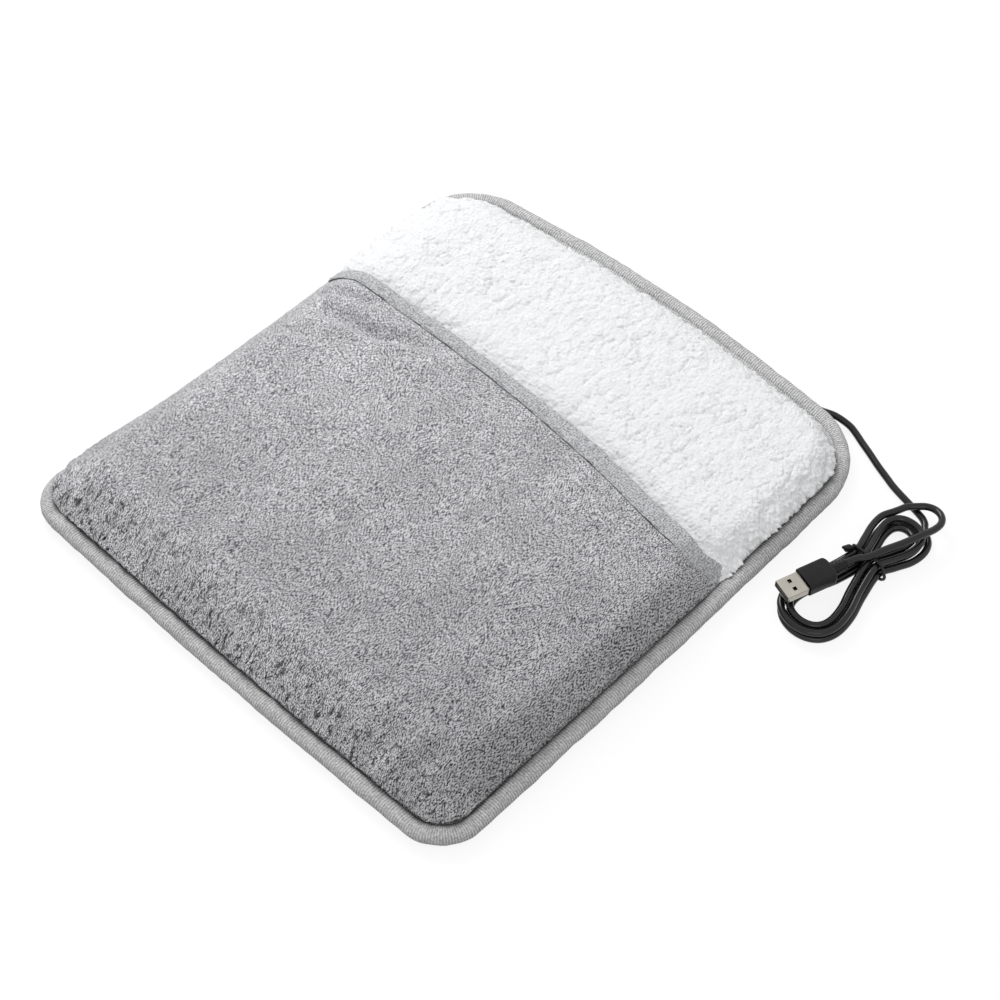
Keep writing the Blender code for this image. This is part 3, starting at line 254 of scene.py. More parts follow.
def swept(name, rings, closed_path):
    """A mesh through rings of points; each ring is a closed section."""
    rings = np.asarray(rings)
    count, section = rings.shape[:2]
    index = np.arange(count * section).reshape(count, section)
    if closed_path:
        index = np.concatenate((index, index[:1]))
    faces = quads(np.concatenate((index, index[:, :1]), 1))
    if not closed_path:
        faces.append([int(v) for v in index[0][::-1]])
        faces.append([int(v) for v in index[-1]])
    return mesh_of(name, rings.reshape(-1, 3).tolist(), faces)


# Materials

def new_material(name):
    material = bpy.data.materials.new(name)
    material.use_nodes = True
    return material, material.node_tree, material.node_tree.nodes["Principled BSDF"]


def feed(tree, socket, value):
    """Links a node's output to the socket, or sets the socket's own value."""
    if isinstance(value, bpy.types.NodeSocket):
        tree.links.new(value, socket)
    elif socket.type == 'RGBA' and isinstance(value, tuple):
        socket.default_value = (*value, 1.0)
    else:
        socket.default_value = value


def node(tree, kind, **values):
    """A node; values set its properties, or its inputs where they name one."""
    made = tree.nodes.new(kind)
    for name, value in values.items():
        if hasattr(made, name):
            setattr(made, name, value)
        else:
            feed(tree, made.inputs[name.replace("_", " ")], value)
    return made


def ramp(tree, value, stops):
    made = node(tree, "ShaderNodeValToRGB", Fac=value)
    elements = made.color_ramp.elements
    while len(elements) < len(stops):
        elements.new(0.5)
    for element, (place, colour) in zip(elements, stops):
        element.position = place
        element.color = (*colour, 1.0) if isinstance(colour, tuple) else (colour, colour, colour, 1.0)
    return made.outputs["Color"]


def stretched(tree, scale=(1.0, 1.0, 1.0)):
    """The piece's own coordinates times a scale for each axis."""
    place = node(tree, "ShaderNodeTexCoord").outputs["Object"]
    return node(tree, "ShaderNodeMapping", Vector=place, Scale=scale).outputs["Vector"]


def noise_of(tree, vector, scale, detail, rough):
    return node(tree, "ShaderNodeTexNoise", Vector=vector, Scale=scale, Detail=detail, Roughness=rough).outputs["Fac"]


def math_of(tree, operation, a, b):
    made = node(tree, "ShaderNodeMath", operation=operation)
    feed(tree, made.inputs[0], a)
    feed(tree, made.inputs[1], b)
    return made.outputs["Value"]


def summed(tree, a, a_share, b, b_share):
    """Two values, each times its share."""
    return math_of(tree, 'ADD', math_of(tree, 'MULTIPLY', a, a_share), math_of(tree, 'MULTIPLY', b, b_share))


def ranged(tree, value, low, high, at_low, at_high):
    """The value's place between two ends, carried over to two others."""
    return node(tree, "ShaderNodeMapRange", Value=value, From_Min=low, From_Max=high, To_Min=at_low,
                To_Max=at_high).outputs["Result"]


def mixed(tree, factor, a, b, blend='MIX'):
    made = node(tree, "ShaderNodeMix", data_type='RGBA', blend_type=blend)
    for index, value in ((0, factor), (6, a), (7, b)):
        feed(tree, made.inputs[index], value)
    return made.outputs[2]


def shaded(tree, colour, *shades):
    """The colour times each shade in turn."""
    for shade in shades:
        colour = mixed(tree, 1.0, colour, shade, 'MULTIPLY')
    return colour


def painted_crevice_shade(tree, colour, reach, least, full=0.62):
    """The colour with painted shade in narrow crevices, taken from an ambient occlusion node."""
    open_share = node(tree, "ShaderNodeAmbientOcclusion", samples=8, Distance=reach).outputs["AO"]
    return shaded(tree, colour, ramp(tree, open_share, ((0.12, least), (full, 1.0))))


def surface(tree, shader, colour, rough, specular, height, distance, strength):
    feed(tree, shader.inputs["Base Color"], colour)
    feed(tree, shader.inputs["Roughness"], rough)
    shader.inputs["Specular IOR Level"].default_value = specular
    relief = node(tree, "ShaderNodeBump", Height=height, Distance=distance, Strength=strength)
    feed(tree, shader.inputs["Normal"], relief.outputs["Normal"])


def set_sheen(shader, weight, rough):
    shader.inputs["Sheen Weight"].default_value = weight
    shader.inputs["Sheen Roughness"].default_value = rough


def fleece_material(name):
    """Short combed nap: fine dark and light dashes and brushed patches, with painted shade towards the toe, towards
    the side at +X and in crevices, and painted streaks of shade and light across the toe's seam.
    """
    material, tree, shader = new_material(name)
    dashes = node(tree, "ShaderNodeTexGabor", gabor_type='2D', Vector=stretched(tree, (1.0, 0.55, 1.0)), Scale=620.0,
                  Frequency=1.7, Anisotropy=0.30, Orientation=math.radians(4)).outputs["Value"]
    fibres = noise_of(tree, stretched(tree, (2100.0, 760.0, 1500.0)), 1.0, 2.0, 0.6)
    patches = noise_of(tree, stretched(tree, (34.0, 17.0, 24.0)), 1.0, 3.0, 0.5)
    brushed = noise_of(tree, stretched(tree, (120.0, 60.0, 90.0)), 1.0, 2.0, 0.5)
    fold_streak_noise = noise_of(tree, stretched(tree, (560.0, 190.0, 190.0)), 1.0, 2.0, 0.6)
    place = node(tree, "ShaderNodeSeparateXYZ", Vector=node(tree, "ShaderNodeTexCoord").outputs["Object"])
    across, along = place.outputs["X"], place.outputs["Y"]
    nap = summed(tree, dashes, 0.30, fibres, 0.70)
    colour = ramp(tree, nap, ((0.405, (0.045, 0.044, 0.055)), (0.460, (0.285, 0.281, 0.306)),
                              (0.508, (0.690, 0.682, 0.720)), (0.560, (1.0, 0.995, 1.0))))
    # The patches and brushed noise are the nap's own tone; the last shade here is painted shade, darker towards the
    # toe.
    colour = shaded(tree, colour, ramp(tree, patches, ((0.34, 0.86), (0.66, 1.0))),
                    ramp(tree, brushed, ((0.36, 0.90), (0.64, 1.0))), ranged(tree, along, -0.120, 0.010, 0.84, 1.0))
    # Painted light and shade: streaks across the toe's seam for the light and shade of its folds. They are brighter on
    # the whole, which lifts the painted toe shade there.
    fold_streaked = shaded(tree, colour, ramp(tree, fold_streak_noise, ((0.36, 0.26), (0.45, 1.34))))
    colour = mixed(tree, ranged(tree, along, -0.152, -0.124, 1.0, 0.0), colour, fold_streaked)
    # Painted shade: darker towards the side at +X.
    colour = shaded(tree, colour, ranged(tree, across, -0.110, 0.130, 1.0, 0.80))
    rough = ramp(tree, dashes, ((0.3, 0.80), (0.7, 0.95)))
    surface(tree, shader, painted_crevice_shade(tree, colour, 0.0022, 0.28), rough, 0.12, nap, 0.0006, 0.9)
    set_sheen(shader, 0.15, 0.45)
    return material


def sherpa_material(name, tone=(0.945, 0.95, 0.962), shade_hollows=False):
    """Curly white pile: fluff, with painted shade where its curls are low and, when asked, in its hollows."""
    material, tree, shader = new_material(name)
    curled = noise_of(tree, stretched(tree), 900.0, 3.0, 0.65)
    clumps = noise_of(tree, stretched(tree), 240.0, 2.0, 0.5)
    colour = mixed(tree, ramp(tree, clumps, ((0.35, 0.0), (0.60, 1.0))), tuple(c * 0.98 for c in tone), tone)
    # Painted shade: darker where the curl bump is low.
    colour = mixed(tree, ramp(tree, curled, ((0.32, 0.75), (0.47, 0.0))), colour, tuple(c * 0.86 for c in tone))
    if shade_hollows:
        # Painted shade in the pile's hollows, from the pile's stored height.
        depth = node(tree, "ShaderNodeAttribute", attribute_name="pile").outputs["Fac"]
        colour = shaded(tree, colour, ramp(tree, depth, ((0.10, 0.84), (0.24, 0.97), (0.40, 1.0))))
    surface(tree, shader, colour, ramp(tree, clumps, ((0.3, 0.85), (0.7, 0.98))), 0.10, curled, 0.0006, 0.7)
    set_sheen(shader, 0.15, 0.5)
    return material


def tape_material(name, rib_length, tone, rib_valley_shade, fuzz_low, shade):
    """Knit tape: ribs across the tape, from a map in metres along and across it, and fibre noise, with painted shade
    in the valleys between ribs and in crevices.
    """
    material, tree, shader = new_material(name)
    place = node(tree, "ShaderNodeUVMap", uv_map="tape").outputs["UV"]
    along = node(tree, "ShaderNodeSeparateXYZ", Vector=place).outputs["X"]
    wander = noise_of(tree, stretched(tree), 260.0, 2.0, 0.5)
    turn = summed(tree, along, TAU / rib_length, wander, 1.8)
    wave = math_of(tree, 'ADD', math_of(tree, 'MULTIPLY', math_of(tree, 'SINE', turn, 0.0), 0.5), 0.5)
    fuzz = noise_of(tree, stretched(tree), 1050.0, 2.0, 0.6)
    soft = noise_of(tree, stretched(tree), 90.0, 2.0, 0.5)
    # Painted shade: the colour is darker in the valleys between ribs, where the wave is low.
    colour = shaded(tree, mixed(tree, wave, tuple(c * (1 - rib_valley_shade) for c in tone), tone),
                    ramp(tree, fuzz, ((0.36, fuzz_low), (0.60, 1.0))), ramp(tree, soft, ((0.32, 0.93), (0.66, 1.0))))
    height = math_of(tree, 'ADD', wave, math_of(tree, 'MULTIPLY', fuzz, 0.7))
    rough = ramp(tree, fuzz, ((0.3, 0.80), (0.7, 0.95)))
    surface(tree, shader, painted_crevice_shade(tree, colour, *shade), rough, 0.2, height, 0.00030, 0.7)
    set_sheen(shader, 0.2, 0.5)
    return material


def plain_material(name, tone, dark, rough_low, rough_high, scale, bump_depth, metallic=0.0, specular=0.5):
    """A moulded or plated surface with fine grain, soft colour variation and wear in its roughness."""
    material, tree, shader = new_material(name)
    grain = noise_of(tree, stretched(tree), scale, 3.0, 0.6)
    soft = noise_of(tree, stretched(tree), scale / 12, 2.0, 0.5)
    colour = mixed(tree, ramp(tree, soft, ((0.35, 0.0), (0.65, 1.0))), dark, tone)
    rough = ramp(tree, summed(tree, grain, 0.5, soft, 0.5), ((0.35, rough_low), (0.65, rough_high)))
    surface(tree, shader, colour, rough, specular, grain, bump_depth, 0.5)
    shader.inputs["Metallic"].default_value = metallic
    return material


# Camera

def make_camera():
    back = Vector((math.sin(CAMERA_AZIMUTH) * math.cos(CAMERA_ELEVATION),
                   -math.cos(CAMERA_AZIMUTH) * math.cos(CAMERA_ELEVATION), math.sin(CAMERA_ELEVATION)))
    right = Vector((math.cos(CAMERA_AZIMUTH), math.sin(CAMERA_AZIMUTH), 0.0))
    up = back.cross(right)
    data = bpy.data.cameras.new("camera")
    data.lens = CAMERA_LENS
    data.sensor_width = 36.0
    camera = bpy.data.objects.new("camera", data)
    turn = Matrix((right, up, back)).transposed().to_4x4()
    camera.matrix_world = Matrix.Translation(CAMERA_PLACE) @ turn
    bpy.context.scene.collection.objects.link(camera)
    bpy.context.scene.camera = camera


# Cord

EXIT_PLACE = Vector((0.1104, 0.16024, 0.00475))
EXIT_HEADING = math.radians(17.0)
CORD_ROUTE = ((0.0138, 0.0026, 0.0032), (0.0195, 0.0012, 0.0025), (0.0252, -0.0012, FLOOR_HEIGHT),
              (0.0328, -0.0044, FLOOR_HEIGHT), (0.0408, -0.0080, FLOOR_HEIGHT),
              (0.0489, -0.0112, FLOOR_HEIGHT), (0.0568, -0.0141, FLOOR_HEIGHT))
LEAD_ROUTE = ((-0.0016, 0.0462, 0.51), (0.0022, 0.0513, 0.53), (0.0074, 0.0530, 0.58), (0.0119, 0.0500, 0.65),
              (0.0138, 0.0434, 0.71), (0.0133, 0.0365, 0.79), (0.0114, 0.0290, 0.90), (0.0083, 0.0186, 0.98),
              (0.0043, 0.0089, 1.0), (0.0006, -0.0008, 1.0))
HANK_X, HANK_Y = 0.1857, 0.09625
HANK_TILT = math.radians(-4.0)
HANK_LOOPS = 4
POINTS_PER_LOOP = 24
LOOP_STEP = 0.0044
WAIST_HALF_WIDTH = 0.0077
UPPER_LENGTH, LOWER_LENGTH = 0.0386, 0.0550
UPPER_SWELL, LOWER_SWELL = 0.0172, 0.0252
WAIST_SOFTNESS, LOBE_BLEND, WAIST_RUN = 0.22, 0.35, 0.016
TIE_DIAMETER, TIE_BAND = 0.0016, 0.004
WAIST_LIFT = 0.00235
LEAD_HEIGHT = 0.01305
PLUG_HEADING = math.radians(19.0)
PLUG_TIP = Vector((0.1685, 0.04965, LEAD_HEIGHT))
PLUG_LENGTH = 0.0371
LEAST_BEND, FOLD_BEND = 0.0090, 0.0058


def smooth_route(route, spacing):
    route = [Vector(point) for point in route]
    padded = [route[0] * 2 - route[1]] + route + [route[-1] * 2 - route[-2]]
    points = []
    for a, b, c, d in zip(padded, padded[1:], padded[2:], padded[3:]):
        steps = max(1, round((c - b).length / spacing))
        for step in range(steps):
            t = step / steps
            points.append(0.5 * (2 * b + (c - a) * t + (2 * a - 5 * b + 4 * c - d) * t ** 2
                                 + (3 * b - a - 3 * c + d) * t ** 3))
    points.append(route[-1])
    return points


def eased(points, fold):
    """The route with its tight bends opened a little at a time; its ends stay, and its inmost fold keeps tighter."""
    place = np.array([tuple(point) for point in points])
    reach, count = 3, len(place)
    index = np.arange(count)
    free = smooth_step((np.minimum(index, count - 1 - index) - 8) / 8)
    away = smooth_step((np.linalg.norm(place - np.array(fold), axis=1) - 0.0075) / 0.004)
    least = (FOLD_BEND + (LEAST_BEND - FOLD_BEND) * away)[reach:-reach]
    for _ in range(260):
        before, after = place[:-2 * reach], place[2 * reach:]
        middle = place[reach:-reach]
        a, b, c = middle - before, after - middle, after - before
        area = np.linalg.norm(np.cross(a, c), axis=1)
        radius = (np.linalg.norm(a, axis=1) * np.linalg.norm(b, axis=1) * np.linalg.norm(c, axis=1)
                  / np.maximum(2 * area, 1e-12))
        need = np.zeros(count)
        need[reach:-reach] = np.clip((least - radius) / (0.1 * least), 0.0, 1.0)
        if not need.any():
            break
        spread = need.copy()
        for shift in range(1, 13):
            fall = math.cos(shift / 13 * math.pi / 2) ** 2
            spread[shift:] = np.maximum(spread[shift:], need[:-shift] * fall)
            spread[:-shift] = np.maximum(spread[:-shift], need[shift:] * fall)
        outward_share = np.clip(radius / least, 0.0, 1.0)[:, None]
        bend = (before + after) / 2 - middle
        pull = np.zeros_like(place)
        pull[reach:-reach] = bend * (1 - outward_share * 0.999)
        pull[1:-1] += 0.25 * ((place[:-2] + place[2:]) / 2 - place[1:-1])
        place = place + 0.5 * pull * (spread * free)[:, None]
    return [Vector(point) for point in place]


def hank_point(turns):
    """A place on the hank: a figure of eight that nests inwards, climbs and comes out again."""
    angle = TAU * turns

    def base(angle):
        c, s = math.cos(angle), math.sin(angle)
        upper = 0.5 * (1 + math.tanh(c / LOBE_BLEND))
        swell = LOWER_SWELL + (UPPER_SWELL - LOWER_SWELL) * upper
        soft = (math.hypot(c, WAIST_SOFTNESS) - WAIST_SOFTNESS) / (math.hypot(1.0, WAIST_SOFTNESS) - WAIST_SOFTNESS)
        return Vector((s * (WAIST_HALF_WIDTH + swell * soft), (UPPER_LENGTH if c > 0 else LOWER_LENGTH) * c))

    quarter = 1 / 4
    reverse = HANK_LOOPS / 2 - quarter
    inwards = (turns if turns < reverse else 2 * reverse - turns) - quarter
    climb = float(smooth_step((turns - reverse) / (2 * quarter)))
    inwards += climb / 2 + 0.55 * climb * (1 - climb)
    step = math.radians(0.05)
    heading = (base(angle + step) - base(angle - step)).normalized()
    flat = base(angle) + Vector((heading.y, -heading.x)) * inwards * LOOP_STEP
    lift = WAIST_LIFT * float(smooth_step((WAIST_RUN - abs(flat.y)) / (WAIST_RUN - TIE_BAND)))
    c, s = math.cos(HANK_TILT), math.sin(HANK_TILT)
    return Vector((HANK_X + flat.x * c - flat.y * s, HANK_Y + flat.x * s + flat.y * c,
                   FLOOR_HEIGHT + lift + climb * LOOP_STEP))


def add_tube(name, points, radius, resolution, material, slot, *nodes):
    """A round piece along a route, with flat ends."""
    data = bpy.data.curves.new(name, 'CURVE')
    data.dimensions = '3D'
    data.bevel_depth = radius
    data.bevel_resolution = resolution
    data.use_fill_caps = True
    spline = data.splines.new('POLY')
    spline.points.add(len(points) - 1)
    for target, point in zip(spline.points, points):
        target.co = (*point, 1.0)
    return add_piece(name, data, material, slot, *nodes)


def make_cord(material):
    """The lead in one unbroken run; also gives its hank's points and its length."""
    out = Vector((math.cos(EXIT_HEADING), math.sin(EXIT_HEADING), 0.0))
    hank = [hank_point(i / POINTS_PER_LOOP) for i in range(1, HANK_LOOPS * POINTS_PER_LOOP - 1)]
    into = (hank[1] - hank[0]).normalized()
    onward = (hank[-1] - hank[-2]).normalized()
    first, last = hank[0] - into * CORD_DIAMETER, hank[-1] + onward * CORD_DIAMETER
    route = [EXIT_PLACE - out * CORD_DIAMETER / 2, EXIT_PLACE + out * 1.5 * CORD_DIAMETER]
    route += [EXIT_PLACE + Vector((x, y, z - EXIT_PLACE.z)) for x, y, z in CORD_ROUTE]
    route += [first - into * 1.5 * CORD_DIAMETER, first] + hank + [last, last + onward * 1.2 * CORD_DIAMETER]
    route += [Vector((HANK_X + x, HANK_Y + y, share * LEAD_HEIGHT)) for x, y, share in LEAD_ROUTE]
    heading = Vector((math.sin(PLUG_HEADING), math.cos(PLUG_HEADING), 0.0))
    neck_end = PLUG_TIP + heading * PLUG_LENGTH
    route += [neck_end + heading * 1.5 * CORD_DIAMETER, neck_end - heading * CORD_DIAMETER / 2]
    points = eased(smooth_route(route, 0.0011), hank_point(HANK_LOOPS / 2))
    piece = add_tube("usb_lead", points, CORD_DIAMETER / 2, 5, material, "black_cord",
                     "usb_cord", "cord_hank", "plug_lead")
    return piece, hank, sum((b - a).length for a, b in zip(points, points[1:]))


def make_tie(material, strands):
    """A plastic-covered wire once round the hank's waist, with its twisted ends beside it."""
    tie_radius = TIE_DIAMETER / 2
    reach = CORD_DIAMETER / 2 + 1.2 * GAP + tie_radius
    rim = []
    for a, b in zip(strands, strands[1:]):
        for step in range(9):
            point = a.lerp(b, step / 8)
            if abs(point.y - HANK_Y) > TIE_DIAMETER:
                continue
            rim += [Vector((point.x + reach * math.cos(t / 24 * TAU), point.z + reach * math.sin(t / 24 * TAU)))
                    for t in range(24)]
    around = [rim[i] for i in convex_hull_2d(rim)]
    first = min(range(len(around)), key=lambda i: around[i].x - 1.4 * around[i].y)
    around = around[first:] + around[:first + 1]
    apart = tie_radius + 0.00015
    total = sum((b - a).length for a, b in zip(around, around[1:]))
    ring, run = [], 0.0
    for i, point in enumerate(around):
        if i:
            run += (point - around[i - 1]).length
        ring.append(Vector((point.x, HANK_Y + apart * (2 * run / total - 1), point.y)))
    root = ring[0].copy()
    root.y = HANK_Y

    def twist(side):
        strand = []
        for step in range(25):
            share = step / 24
            angle = share * 1.5 * TAU
            strand.append(root + Vector((side * 1.15 * apart * math.cos(angle) - 0.0014 * share,
                                         -0.9 * TIE_DIAMETER - 0.0030 * share,
                                         0.5 * TIE_DIAMETER + side * 1.15 * apart * math.sin(angle))))
        return strand

    points = smooth_route(twist(-1)[::-1] + ring + twist(1), 0.0012)
    return add_tube("twist_tie", points, tie_radius, 4, material, "black_plastic", "cord_tie")


def section_ring(width, height, rounding, at):
    """A rounded rectangle square to the plug, at a distance from its tip."""
    rounding = min(rounding, width / 2, height / 2)
    ring = []
    for quarter, (sign_x, sign_z) in enumerate(((1, 1), (-1, 1), (-1, -1), (1, -1))):
        for step in range(7):
            angle = (quarter + step / 6) * math.pi / 2
            ring.append((sign_x * (width / 2 - rounding) + rounding * math.cos(angle), at,
                         sign_z * (height / 2 - rounding) + rounding * math.sin(angle)))
    return ring


GRIP_WIDTH, GRIP_HEIGHT, GRIP_ROUNDING = 0.0138, 0.0076, 0.0017
GRIP_START, GRIP_END, NECK_END = 0.0123, 0.0288, 0.0368
GRIP_EDGE, GRIP_SHOULDER = 0.0009, 0.0024
NECK_WIDTH, NECK_HEIGHT, NECK_TIP = 0.0074, 0.0062, 0.0056
NECK_SLOTS, SLOT_DEPTH = 4, 0.00035


def make_plug_grip(material):
    """The overmoulded grip with its rounded edges, and the stepped neck that guards the cord."""
    rings = []
    for share in (1.0, 0.62, 0.30, 0.08, 0.0):
        pull = GRIP_EDGE * share
        rings.append(section_ring(GRIP_WIDTH - 2 * pull, GRIP_HEIGHT - 2 * pull, GRIP_ROUNDING - pull * 0.3,
                                  GRIP_START + GRIP_EDGE * (1 - math.sqrt(max(1 - share * share, 0)))))
    for at in np.linspace(GRIP_START + 0.0012, GRIP_END - GRIP_SHOULDER, 8):
        rings.append(section_ring(GRIP_WIDTH, GRIP_HEIGHT, GRIP_ROUNDING, at))
    for step in range(1, 7):
        angle = step / 6 * math.pi / 2
        pull = 1 - math.cos(angle)
        rings.append(section_ring(GRIP_WIDTH - 0.0060 * pull, GRIP_HEIGHT - 0.0012 * pull,
                                  GRIP_ROUNDING + 0.0014 * pull,
                                  GRIP_END - GRIP_SHOULDER + 0.0022 * math.sin(angle)))
    for i in range(NECK_SLOTS * 6 + 1):
        share = i / (NECK_SLOTS * 6)
        size_x = NECK_WIDTH + (NECK_TIP - NECK_WIDTH) * share
        size_z = NECK_HEIGHT + (NECK_TIP - NECK_HEIGHT) * share
        groove = SLOT_DEPTH if i % 6 in (3, 4) and 0 < i < NECK_SLOTS * 6 else 0.0
        rings.append(section_ring(size_x - 2 * groove, size_z - 2 * groove, size_z / 2,
                                  GRIP_END + share * (NECK_END - GRIP_END)))
    mesh = swept("plug_grip", rings, False)
    mesh.transform(Matrix.Translation(PLUG_TIP) @ Matrix.Rotation(-PLUG_HEADING, 4, 'Z'))
    piece = add_piece("plug_grip", mesh, material, "black_plastic", "plug_body")
    mesh.set_sharp_from_angle(angle=math.radians(50))
    return piece


# Padded layers

def row_lines(radius, hem_inset, arc_step, toe):
    """Rows across a rounded end, from the end inwards: the flat y and the half width of each."""
    arc = radius - hem_inset
    steps = max(4, int(round(arc * math.pi / 2 / arc_step)))
    angles = np.arange(steps) / steps * math.pi / 2
    y = HALF_DEPTH - radius + arc * np.cos(angles)
    return list(zip(-y if toe else y, HALF_WIDTH - radius + arc * np.sin(angles)))


def column_shares(count, fine_share):
    shares = np.linspace(-1.0, 1.0, count)
    return np.sin(shares * math.pi / 2) * fine_share + shares * (1 - fine_share)


def grid_of(rows, shares):
    """Flat points for rows of a y and a half width."""
    return (np.array([shares * half for _, half in rows]),
            np.array([np.full(len(shares), y) for y, _ in rows]))


POCKET_OVERHANG = 0.0040

# Creases of the pocket: points of each in the flat plan, half width and depth
CREASES = (
    (((-0.1330, 0.0290), (-0.1229, 0.0323), (-0.1143, 0.0362), (-0.1057, 0.0400), (-0.0964, 0.0434),
      (-0.0800, 0.0475)), 0.0036, 0.0032),
    (((-0.1300, 0.0205), (-0.1182, 0.0197), (-0.1085, 0.0191), (-0.0965, 0.0229), (-0.0852, 0.0243),
      (-0.0781, 0.0266), (-0.0711, 0.0319), (-0.0605, 0.0366), (-0.0400, 0.0430)), 0.0040, 0.0036),
    (((-0.1290, -0.0085), (-0.1207, -0.0048), (-0.1120, 0.0003), (-0.0960, 0.0000)), 0.0034, 0.0016),
    (((0.0960, -0.1570), (0.1098, -0.1500), (0.1135, -0.1362), (0.1220, -0.1220)), 0.0040, 0.0036),
    (((-0.1350, -0.1520), (-0.1290, -0.1370)), 0.0026, 0.0014),
    (((-0.1140, -0.1530), (-0.1050, -0.1410)), 0.0024, 0.0012),
    (((-0.1020, -0.1530), (-0.0950, -0.1430)), 0.0020, 0.0010),
    (((-0.0070, -0.1530), (-0.0010, -0.1330)), 0.0032, 0.0015),
    (((0.0590, -0.1530), (0.0650, -0.1420)), 0.0024, 0.0014),
    (((0.0680, -0.1530), (0.0740, -0.1410)), 0.0022, 0.0012),
    (((0.0850, -0.1530), (0.0900, -0.1390)), 0.0026, 0.0013),
)


def pocket_grid(columns, spacing):
    """Flat points from the toe to the mouth's line, in rows that the coarse lower grid divides."""
    rows = row_lines(TOE_RADIUS, POCKET_HEM_INSET, 0.0007, True)
    full = HALF_WIDTH - POCKET_HEM_INSET
    straight = -0.030
    rows += [(y, full) for y in np.arange(-HALF_DEPTH + TOE_RADIUS, straight, spacing)]
    last = int(round((MOUTH_LINE_Y - straight) / spacing / COARSE)) * COARSE
    last += (COARSE - ((len(rows) + last) % COARSE)) % COARSE + 1
    shares = column_shares(columns, 0.35)
    x, y = grid_of(rows, shares)
    x_last = np.tile(shares * full, (last, 1))
    y_last = straight + (mouth_y(x_last) - TAPE_HALF_HEIGHT - straight) * np.linspace(0.0, 1.0, last)[:, None]
    return np.concatenate((x, x_last)), np.concatenate((y, y_last))


def wrinkle(x, y, points, width, depth):
    """A soft valley along a polyline, which fades at both its ends."""
    least = np.full(x.shape, 9.0)
    fade = np.zeros(x.shape)
    lengths = [math.dist(a, b) for a, b in zip(points, points[1:])]
    total, run = sum(lengths), 0.0
    for (ax, ay), (bx, by), length in zip(points, points[1:], lengths):
        t = np.clip(((x - ax) * (bx - ax) + (y - ay) * (by - ay)) / length ** 2, 0, 1)
        distance = np.hypot(x - ax - t * (bx - ax), y - ay - t * (by - ay))
        share = (run + t * length) / total
        fade = np.where(distance < least, smooth_step(share / 0.25) * smooth_step((1 - share) / 0.35), fade)
        least = np.minimum(least, distance)
        run += length
    profile = np.exp(-(least / width) ** 2) - 0.55 * np.exp(-((least - 1.9 * width) / (0.9 * width)) ** 2)
    return -depth * fade * profile


def outward(x, y):
    """Unit vector towards the nearest edge, in the flat plan."""
    step = 0.0004
    gx = inset_of(x - step, y) - inset_of(x + step, y)
    gy = inset_of(x, y - step) - inset_of(x, y + step)
    size = np.maximum(np.hypot(gx, gy), 1e-9)
    return gx / size, gy / size


def edge_run(x, y):
    """A length along the mat's edge for each point, for puckers that run in from the seam."""
    return np.where(np.abs(x) / HALF_WIDTH > np.abs(y) / HALF_DEPTH, y, x)


def lap_out(x, y, past_seam):
    """How far the padding hangs out over the binding along the side at -X."""
    fuller = 1.35 + 0.75 * np.exp(-((y + 0.125) / 0.035) ** 2)
    out = fuller * POCKET_OVERHANG * left_side(x, y) * smooth_step((past_seam - 0.0005) / 0.0022)
    return out * np.exp(-np.maximum(past_seam - 0.0026, 0) / 0.011)


def pocket_surface(x, y):
    """Heights of the pocket's fleece, and how far it hangs outwards."""
    inset = inset_of(x, y)
    hem = GAP / 2 + MOUTH_HEM
    rise, full, left = steep_rise(x, y), puff(x, y), left_side(x, y)
    crown = mouth_height(x) + hem + (POCKET_PUFF - hem) * full
    height = POCKET_HEM_TOP + (crown - POCKET_HEM_TOP) * rise
    past_seam = inset - SEAM_INSET
    before_mouth = mouth_y(x) - y
    beside = before_mouth - tape_width(x)
    height += 0.0010 * smooth_step((beside + 0.0002) / 0.0012) * np.exp(-np.maximum(beside, 0) / 0.012) * rise

    # Broad softness of the padding, then the creases that the fabric has taken
    free = smooth_step(past_seam / 0.010) * full
    height += free * (0.0011 * noise(x / 0.055, y / 0.045, 3) + 0.0005 * noise(x / 0.021, y / 0.024, 4))
    for points, width, depth in CREASES:
        height += wrinkle(x, y, points, width, depth) * smooth_step(past_seam / 0.004) * smooth_step(
            (beside - 0.0008) / 0.009)

    # Puckers, valleys and ruffles: short folds square to the seam, strongest at the toe
    run = edge_run(x, y)
    toe = smooth_step((-y - 0.10) / 0.04)
    clear = smooth_step((before_mouth - 0.010) / 0.02)
    pucker = noise(run / 0.0085, 0.5 + inset / 0.05, 11) + 0.6 * noise(run / 0.0042, inset / 0.03, 12)
    reach = np.exp(-np.maximum(past_seam - 0.002, 0) / 0.0085) * smooth_step(past_seam / 0.002)
    height += pucker * reach * (0.0007 + 0.0014 * toe) * (1 - 0.6 * left) * clear
    valleys = np.exp(-(noise(run / 0.0100, 0.3 + inset / 0.040, 15) / 0.13) ** 2)
    height -= valleys * reach * 0.0015 * toe * clear
    ruffle = noise(run / 0.0024, past_seam / 0.0060, 13) + 0.7 * noise(run / 0.0013, past_seam / 0.0030, 14)
    near = np.exp(-np.maximum(past_seam - 0.001, 0) / 0.0075) * smooth_step(past_seam / 0.0012)
    height += ruffle * near * (0.00035 + 0.00095 * toe) * clear

    over = POCKET_OVERHANG * smooth_step((past_seam - 0.0005) / 0.0022) * (1 + 0.17 * pucker + 0.10 * ruffle)
    over *= np.exp(-np.maximum(past_seam - 0.0026, 0) / 0.007) * (1 - left)
    over *= smooth_step((before_mouth - 0.006) / 0.022)
    over += lap_out(x, y, past_seam)

    # Nap: short clumped pile, combed along the mat
    nap = noise(x / 0.0011, y / 0.0021, 21) * 0.6 + noise(x / 0.0024, y / 0.0044, 22) * 0.35
    height += nap * 0.00016 * smooth_step(past_seam / 0.002) * smooth_step((beside + 0.001) / 0.0015)
    ox, oy = outward(x, y)
    return height, ox * over, oy * over


